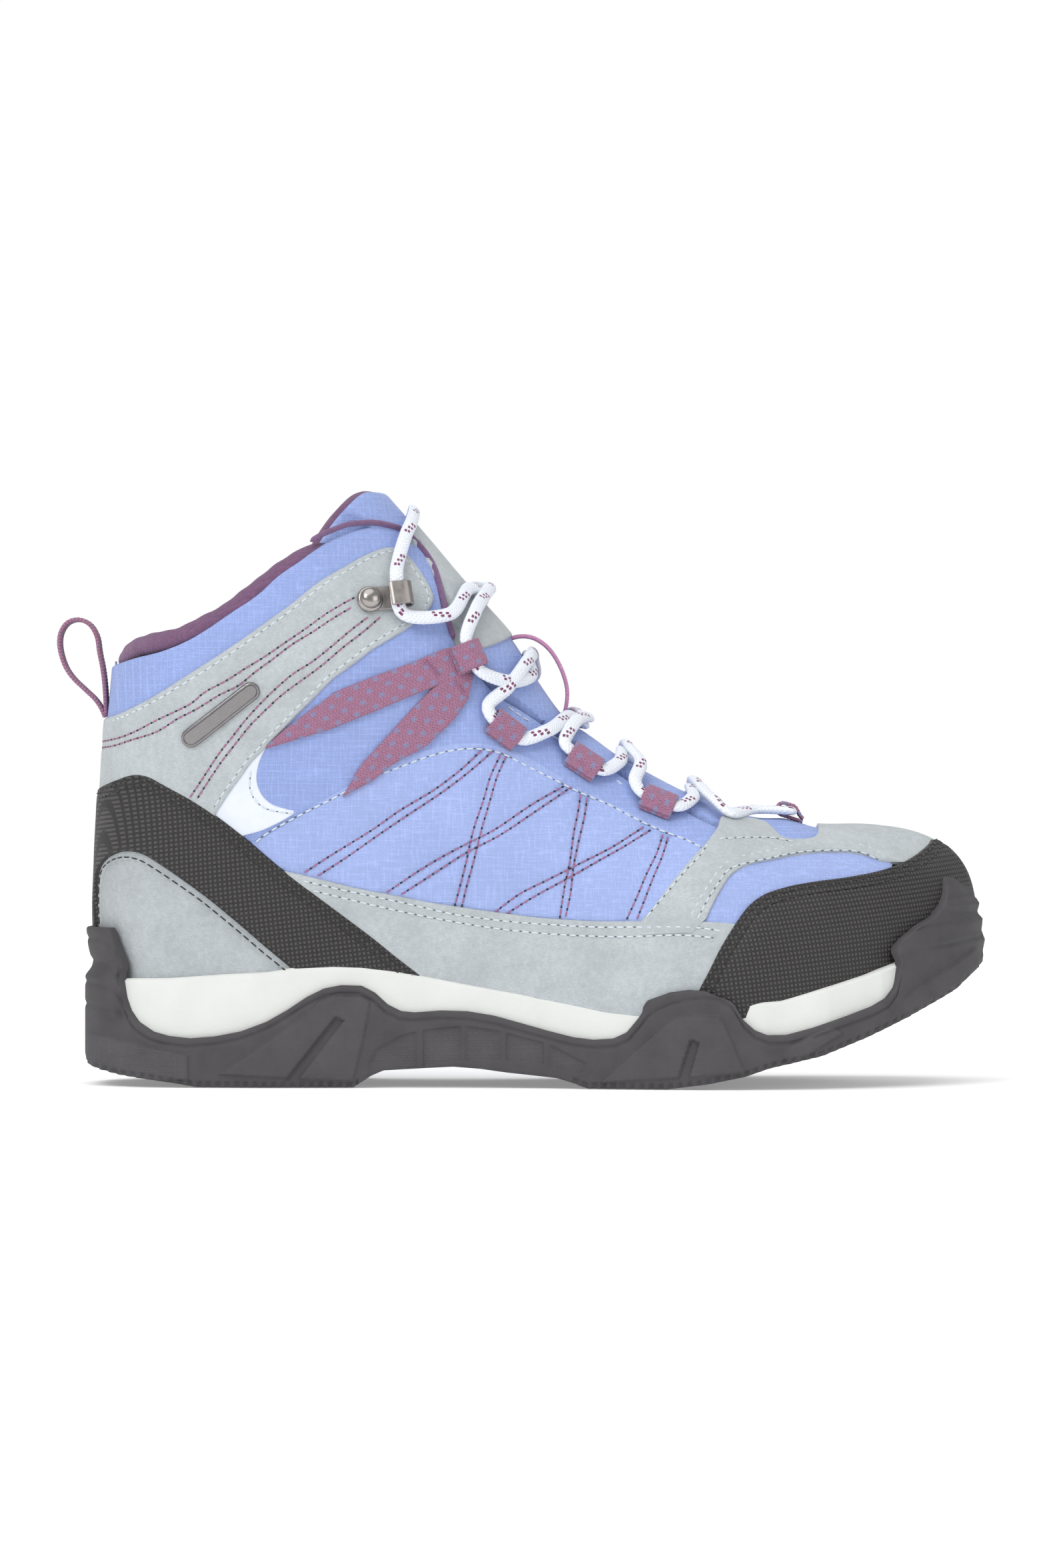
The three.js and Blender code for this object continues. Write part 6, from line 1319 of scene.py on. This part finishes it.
# ------------------------------------------------------------------ sole
def poly_sdf(X, Z, poly):
    """signed distance to a closed side-view polygon, positive inside"""
    Q = np.stack([X, Z], 1)
    A = np.asarray(poly, float)
    B = np.roll(A, -1, 0)
    d = seg_dist(Q, A, B)
    return np.where(inside(Q, A), d, -d)
def plan_half(s, side, inset):
    """plan outline of the sole: x along, half width"""
    H = HL if side < 0 else HM
    x = lerp(-39.5 + inset, 243.5 - inset, s)
    return x, np.maximum(tab(H, s) - inset, 0) * SF(s / 0.125, 2.3)
def up_half(s, side, z, out):
    """the upper's outline at height z, moved outward by out"""
    x = lerp(tab(BACKs, z), tab(TIPs, z), s)
    u, c = uc_of(x, z)
    g = half_width(x, z, side)
    st = station(u)
    L = np.hypot(st[:, 0] - st[:, 2], st[:, 1] - st[:, 3])
    top = SF((1 - tau_of(c)) * L / st[:, 4])
    back = SF((x - tab(BACKs, z)) / 33)
    w = g * np.maximum(top, 0.6) * back
    e = lerp(-out, out, s)
    rd = SF(s / 0.05, 2.3)
    return x + e, w + out * rd * np.where(s > 0.985, np.sqrt(np.clip((1 - s) / 0.015, 0, 1)), 1)
NOSE = np.asarray(TOE_NOSE, float)[::-1]
def nose_lean(s, z):
    """the toe of the outsole follows its own traced front edge"""
    x = np.interp(z, NOSE[:, 1], NOSE[:, 0])
    return (x - 243.5) * sm((s - 0.90) / 0.1)
def wall_point(s, side, z, inset=0.0):
    x0, w0 = plan_half(s, side, inset)
    mt = tab(MID_TOP, x0)
    x1, w1 = up_half(s, side, np.maximum(z, mt), 4.3 - inset)
    t = sm((z - mt) / 5.0)
    x, w = lerp(x0, x1, t), lerp(w0, w1, t)
    x = np.where(s > 0.90, lerp(x, x0 + nose_lean(s, z), sm((s - 0.9) / 0.08)), x)
    return np.stack([x, yc(x) + side * w, z], 1)
def even_s(n):
    """places along the outline, evenly spaced by length, closer at the two ends"""
    a = np.linspace(0, np.pi, 4001)
    s = 0.5 - 0.5 * np.cos(a)
    x, w = plan_half(s, -1, 0)
    L = np.concatenate([[0], np.cumsum(np.hypot(np.diff(x), np.diff(w)))])
    return np.interp(np.linspace(0, L[-1], n), L, s)
SS = even_s(560)
# relief drawn on the side of the outsole, in the side view
R_BLOCK = px([(128,1552),(170,1559),(282,1582),(282,1618),(128,1618)])
R_FAN1 = px([(330,1610),(450,1530),(480,1500),(500,1492),(540,1492),(556,1500),(545,1560),(530,1620)])
R_SLOT1 = px([(428,1620),(446,1620),(516,1530),(504,1524)])
R_FAN2 = px([(900,1620),(1000,1530),(1015,1522),(1075,1520),(1085,1535),(1115,1605)])
R_SLOT2 = px([(1014,1617),(1030,1617),(1046,1560),(1034,1555)])
R_CELLS = [px(q) for q in ([(556,1590),(566,1572),(604,1552),(624,1546),(624,1600),(556,1614)], [(636,1544),(690,1538),(690,1590),(636,1598)],
                           [(700,1538),(750,1546),(750,1588),(700,1590)], [(760,1548),(814,1562),(814,1594),(760,1590)], [(826,1566),(878,1592),(872,1606),(826,1598)])]
R_LUG1 = px([(1175,1580),(1182,1565),(1240,1537),(1260,1545),(1180,1595)])
R_LUG2 = px([(1355,1500),(1380,1480),(1470,1425),(1477,1455),(1355,1528)])
HEEL_LINES = [px(q) for q in ([(118,1408),(152,1412),(172,1430)], [(118,1440),(150,1446),(176,1470)], [(118,1474),(156,1482),(190,1508)], [(118,1508),(165,1516),(230,1534)])]
TOE_LINES = [px(q) for q in ([(1340,1362),(1400,1352),(1475,1345)], [(1345,1398),(1410,1386),(1480,1376)], [(1350,1432),(1420,1418),(1482,1408)])]
def relief(x, z):
    h = np.zeros(len(x))
    lug = np.zeros(len(x))
    def raised(poly, k, soft=0.8, mark=1.0):
        nonlocal h, lug
        m = sm((poly_sdf(x, z, poly) + soft / 2) / soft)
        h = np.maximum(h, k * m) if k > 0 else np.where(m > 0, np.minimum(h, lerp(h, k, m)), h)
        lug = np.maximum(lug, m * mark)
    raised(R_BLOCK, 0.9)
    raised(R_FAN1, 1.0, mark=0.25)
    raised(R_FAN2, 1.0, mark=0.25)
    raised(R_LUG1, 0.8, mark=0.3)
    raised(R_LUG2, 0.8, mark=0.3)
    for q in R_CELLS:
        raised(q, -0.8, 0.7, 0.9)
    for q in (R_SLOT1, R_SLOT2):
        raised(q, -0.5, 0.7, 0.0)
    P = np.stack([x, z], 1)
    for q in HEEL_LINES + TOE_LINES:
        q = np.asarray(crom(q, 6))
        d = seg_dist(P, q[:-1], q[1:])
        h = h - 0.5 * np.exp(-(d / 0.75) ** 2)
    ot, bt = tab(OUT_TOP, x), tab(BOTTOM, x)
    h = h - 0.55 * np.exp(-((ot - z - 2.6) / 0.55) ** 2) * ((x > -26) & (x < 214))
    tick = 0.5 * (1 + np.sign(np.sin(2 * math.pi * x / 2.9)) * np.abs(np.sin(2 * math.pi * x / 2.9)) ** 0.4)
    lugs = ((x > -36) & (x < 47)) | ((x > 113) & (x < 236))
    h = h - 0.9 * tick * sm((2.2 - (z - bt)) / 0.9) * lugs
    return h, lug
def shell_mesh(name, rows_of, mat, rep, n_lip, floor_of, bottom_of, K=40, uses=None):
    """closed body of the sole: an outer wall with a lip, an inner floor and an underside"""
    n = len(SS)
    cols = []
    for side in (-1, 1):
        cols.append(rows_of(side))            # (rows, n, 3) from the underside edge over the top to the inner floor edge
    L, R = cols
    m = L.shape[0]
    loop = np.concatenate([L, R[:, ::-1][:, 1:-1]], 1)
    nl = loop.shape[1]
    V = [loop.reshape(-1, 3)]
    F = []
    idx = np.arange(m * nl).reshape(m, nl)
    a, b = idx[:-1], idx[1:]
    a2, b2 = np.roll(a, -1, 1), np.roll(b, -1, 1)
    F.append(np.stack([a, a2, b2, b], -1).reshape(-1, 4))
    tot = m * nl
    def lid(row, zf, flip):
        nonlocal tot
        Lp, Rp = L[row], R[row]
        li = idx[row, :n]
        ri = np.concatenate([[idx[row, 0]], idx[row, n:][::-1], [idx[row, n - 1]]])
        t = np.linspace(0, 1, K + 1)[1:-1]
        G = Lp[None] * (1 - t)[:, None, None] + Rp[None] * t[:, None, None]
        G = G[:, 1:-1]
        e = np.minimum(t, 1 - t)
        G[..., 2] = zf(G[..., 0], G[..., 1], G[..., 2])
        V.append(G.reshape(-1, 3))
        gi = np.arange(G.shape[0] * G.shape[1]).reshape(G.shape[0], -1) + tot
        tot += G.shape[0] * G.shape[1]
        full = np.zeros((K + 1, n), int)
        full[0], full[-1] = li, ri
        full[1:-1, 1:-1] = gi
        full[1:-1, 0], full[1:-1, -1] = li[0], li[-1]
        q = np.stack([full[:-1, :-1], full[1:, :-1], full[1:, 1:], full[:-1, 1:]], -1).reshape(-1, 4)
        F.append(q[:, ::-1] if flip else q)
    lid(0, bottom_of, False)
    lid(m - 1, floor_of, True)
    V = np.concatenate(V)
    faces = []
    for q in np.concatenate(F).tolist():
        r = []
        for k in q:
            if k not in r:
                r.append(k)
        if len(r) > 2:
            faces.append(r)
    return V, faces, m * nl
GRV = [(-22, 3.2, 4.2), (-9, 3.2, 4.2), (4, 3.4, 4.5), (17, 3.4, 4.5), (30, 3.4, 4.5), (122, 3.2, 4.2), (136, 3.4, 4.2), (150, 3.4, 5.2), (164, 3.6, 7.2), (178, 3.6, 10), (192, 3.6, 13.6), (206, 3.6, 19)]
def out_rows(side):
    xb, _ = plan_half(SS, side, 0)
    bt, tp_ = tab(BOTTOM, xb), tab(OUT_TOP, xb)
    rows = []
    def add(z, inset, rel=True):
        P = wall_point(SS, side, z, inset)
        if rel:
            h, lug = relief(P[:, 0], P[:, 2])
            Nn = np.gradient(P[:, :2], axis=0)
            Nn = unit(Nn)
            m_ = np.stack([Nn[:, 1], -Nn[:, 0]], 1) * (1 if side < 0 else -1)
            m_[0], m_[-1] = (-1, 0), (1, 0)
            P[:, :2] += m_ * h[:, None]
            P[0, 1] = yc(P[0, 0]); P[-1, 1] = yc(P[-1, 0])
        else:
            lug = np.zeros(len(P))
        rows.append(P); LUG.append(lug)
    for k in range(62):
        f = k / 61
        r = 0.9
        z = lerp(bt + 0.0, tp_ - r, f)
        add(z, 0.35 * (1 - sm(f * 18)))
    for a in np.linspace(0, math.pi / 2, 5)[1:]:
        add(tp_ - 0.9 + 0.9 * math.sin(a), 0.9 * (1 - math.cos(a)), False)
    add(tp_, 1.6, False); add(tp_, 2.3, False)
    mb = tab(MID_BOT, xb) - 0.3
    for f in (0.33, 0.66, 1.0):
        zz = lerp(tp_, np.minimum(mb, tp_ - 0.2), f)
        P = wall_point(SS, side, zz, 2.3)
        rows.append(P); LUG.append(np.zeros(len(P)))
    return np.stack(rows)
LUG = []
BOARD_T = 1.8
def under(x, y, z):
    w = np.where(y < yc(x), tab(HL, (x + 39.5) / 283), tab(HM, (x + 39.5) / 283))
    q = np.abs(y - yc(x)) / np.maximum(w, 1)
    z0 = tab(BOTTOM, x)
    g = np.zeros(x.shape)
    for gx, gw, gt in GRV:
        zz = x + 3.2 * np.cos((y - yc(x)) / 9.0)
        g = np.maximum(g, (gt - z0) * sm((gw / 2 + 0.3 - np.abs(zz - gx - 1.5)) / 0.8))
    lg = ((x < 47) & (x > -31)) | ((x > 113) & (x < 222))
    for yy in (-13.7, 13.7):
        g = np.maximum(g, 3.6 * sm((1.9 - np.abs(y - yc(x) - yy)) / 0.7) * lg)
    g = np.where(g > 0, g * sm((0.93 - q) / 0.05), 0)
    return z0 + g
V, F, nw = shell_mesh("outsole_body", out_rows, None, None, 0, lambda x, y, z: np.minimum(tab(MID_BOT, x) - 0.3, tab(MID_TOP, x)), under)
lg = np.stack(LUG)
m2 = lg.shape[0] // 2
lgl = np.concatenate([lg[:m2], lg[m2:][:, ::-1][:, 1:-1]], 1).ravel()
A = np.zeros((len(V), 3))
A[:len(lgl), 2] = lgl
A[:, 0], A[:, 1] = V[:, 0], V[:, 2]
mesh("outsole_body", V, F, "outsole_rubber", "upper", rep=("outsole",), attr=A, sharp=50)

def mid_rows(side):
    xb, _ = plan_half(SS, side, 2.0)
    lo, hi_ = tab(MID_BOT, xb), tab(MID_TOP, xb)
    hi_ = np.maximum(hi_, lo + 0.6)
    rows = []
    for f, ins in ((0, 3.0), (0.04, 2.3), (0.1, 2.05)):
        rows.append(np.stack(_mid(side, lerp(lo, hi_, f), ins)).T)
    for f in np.linspace(0.15, 0.9, 16):
        rows.append(np.stack(_mid(side, lerp(lo, hi_, f), 2.0 - 0.25 * math.sin(math.pi * f))).T)
    for a in np.linspace(0, math.pi / 2, 6)[1:]:
        rows.append(np.stack(_mid(side, hi_ - 1.3 * (1 - math.sin(a)) * 1.0, 1.85 + 1.3 * (1 - math.cos(a)))).T)
    rows.append(np.stack(_mid(side, hi_, 4.6)).T)
    return np.stack(rows)
def _mid(side, z, ins):
    x, w = plan_half(SS, side, ins)
    x = x + np.where(SS > 0.9, nose_lean(SS, z) * 0.4, 0)
    return x, yc(x) + side * w, z + 0 * x
V, F, nw = shell_mesh("midsole_body", mid_rows, None, None, 0, lambda x, y, z: tab(MID_TOP, x), lambda x, y, z: tab(MID_BOT, x), K=16)
mesh("midsole_body", V, F, "midsole_foam", "upper", rep=("midsole",), sharp=50)

# footbed with a heel cup
def foot_rows(side):
    def ring(dz, out):
        z = tab(MID_TOP, lerp(-30, 226, SS)) + 0.7 + BOARD_T + dz
        x = lerp(tab(BACKs, z) + 7.2 - out, tab(TIPs, z) - 7.6 + out, SS)
        z = tab(MID_TOP, x) + 0.7 + BOARD_T + dz
        g = np.maximum(half_width(x, z, side) * SF((x - tab(BACKs, z)) / 33) - 6.9 + out, 0) * np.sqrt(np.clip((1 - SS) / 0.02, 0, 1)) * SF(SS / 0.03, 2.3)
        return np.stack([x, yc(x) + side * g, z], 1)
    return np.stack([ring(0.15, -1.2), ring(0.5, -0.3), ring(1.2, 0.0), ring(2.6, 0.0), ring(3.5, -0.3), ring(4.0, -0.9), ring(4.15, -1.8)])
def foot_top(x, y, z):
    return tab(MID_TOP, x) + 0.7 + BOARD_T + 4.15 - 0.9 * np.exp(-((x + 4) / 24) ** 2 - ((y - yc(x)) / 17) ** 2) - 0.5 * np.exp(-((x - 165) / 30) ** 2 - ((y - yc(x)) / 24) ** 2)
V, F, nw = shell_mesh("footbed_cushion", foot_rows, None, None, 0, foot_top, lambda x, y, z: tab(MID_TOP, x) + 0.7 + BOARD_T + 0.15, K=24)
o = mesh("footbed_cushion", V, F, "footbed_top", "insole", rep=("footbed",), sharp=50)
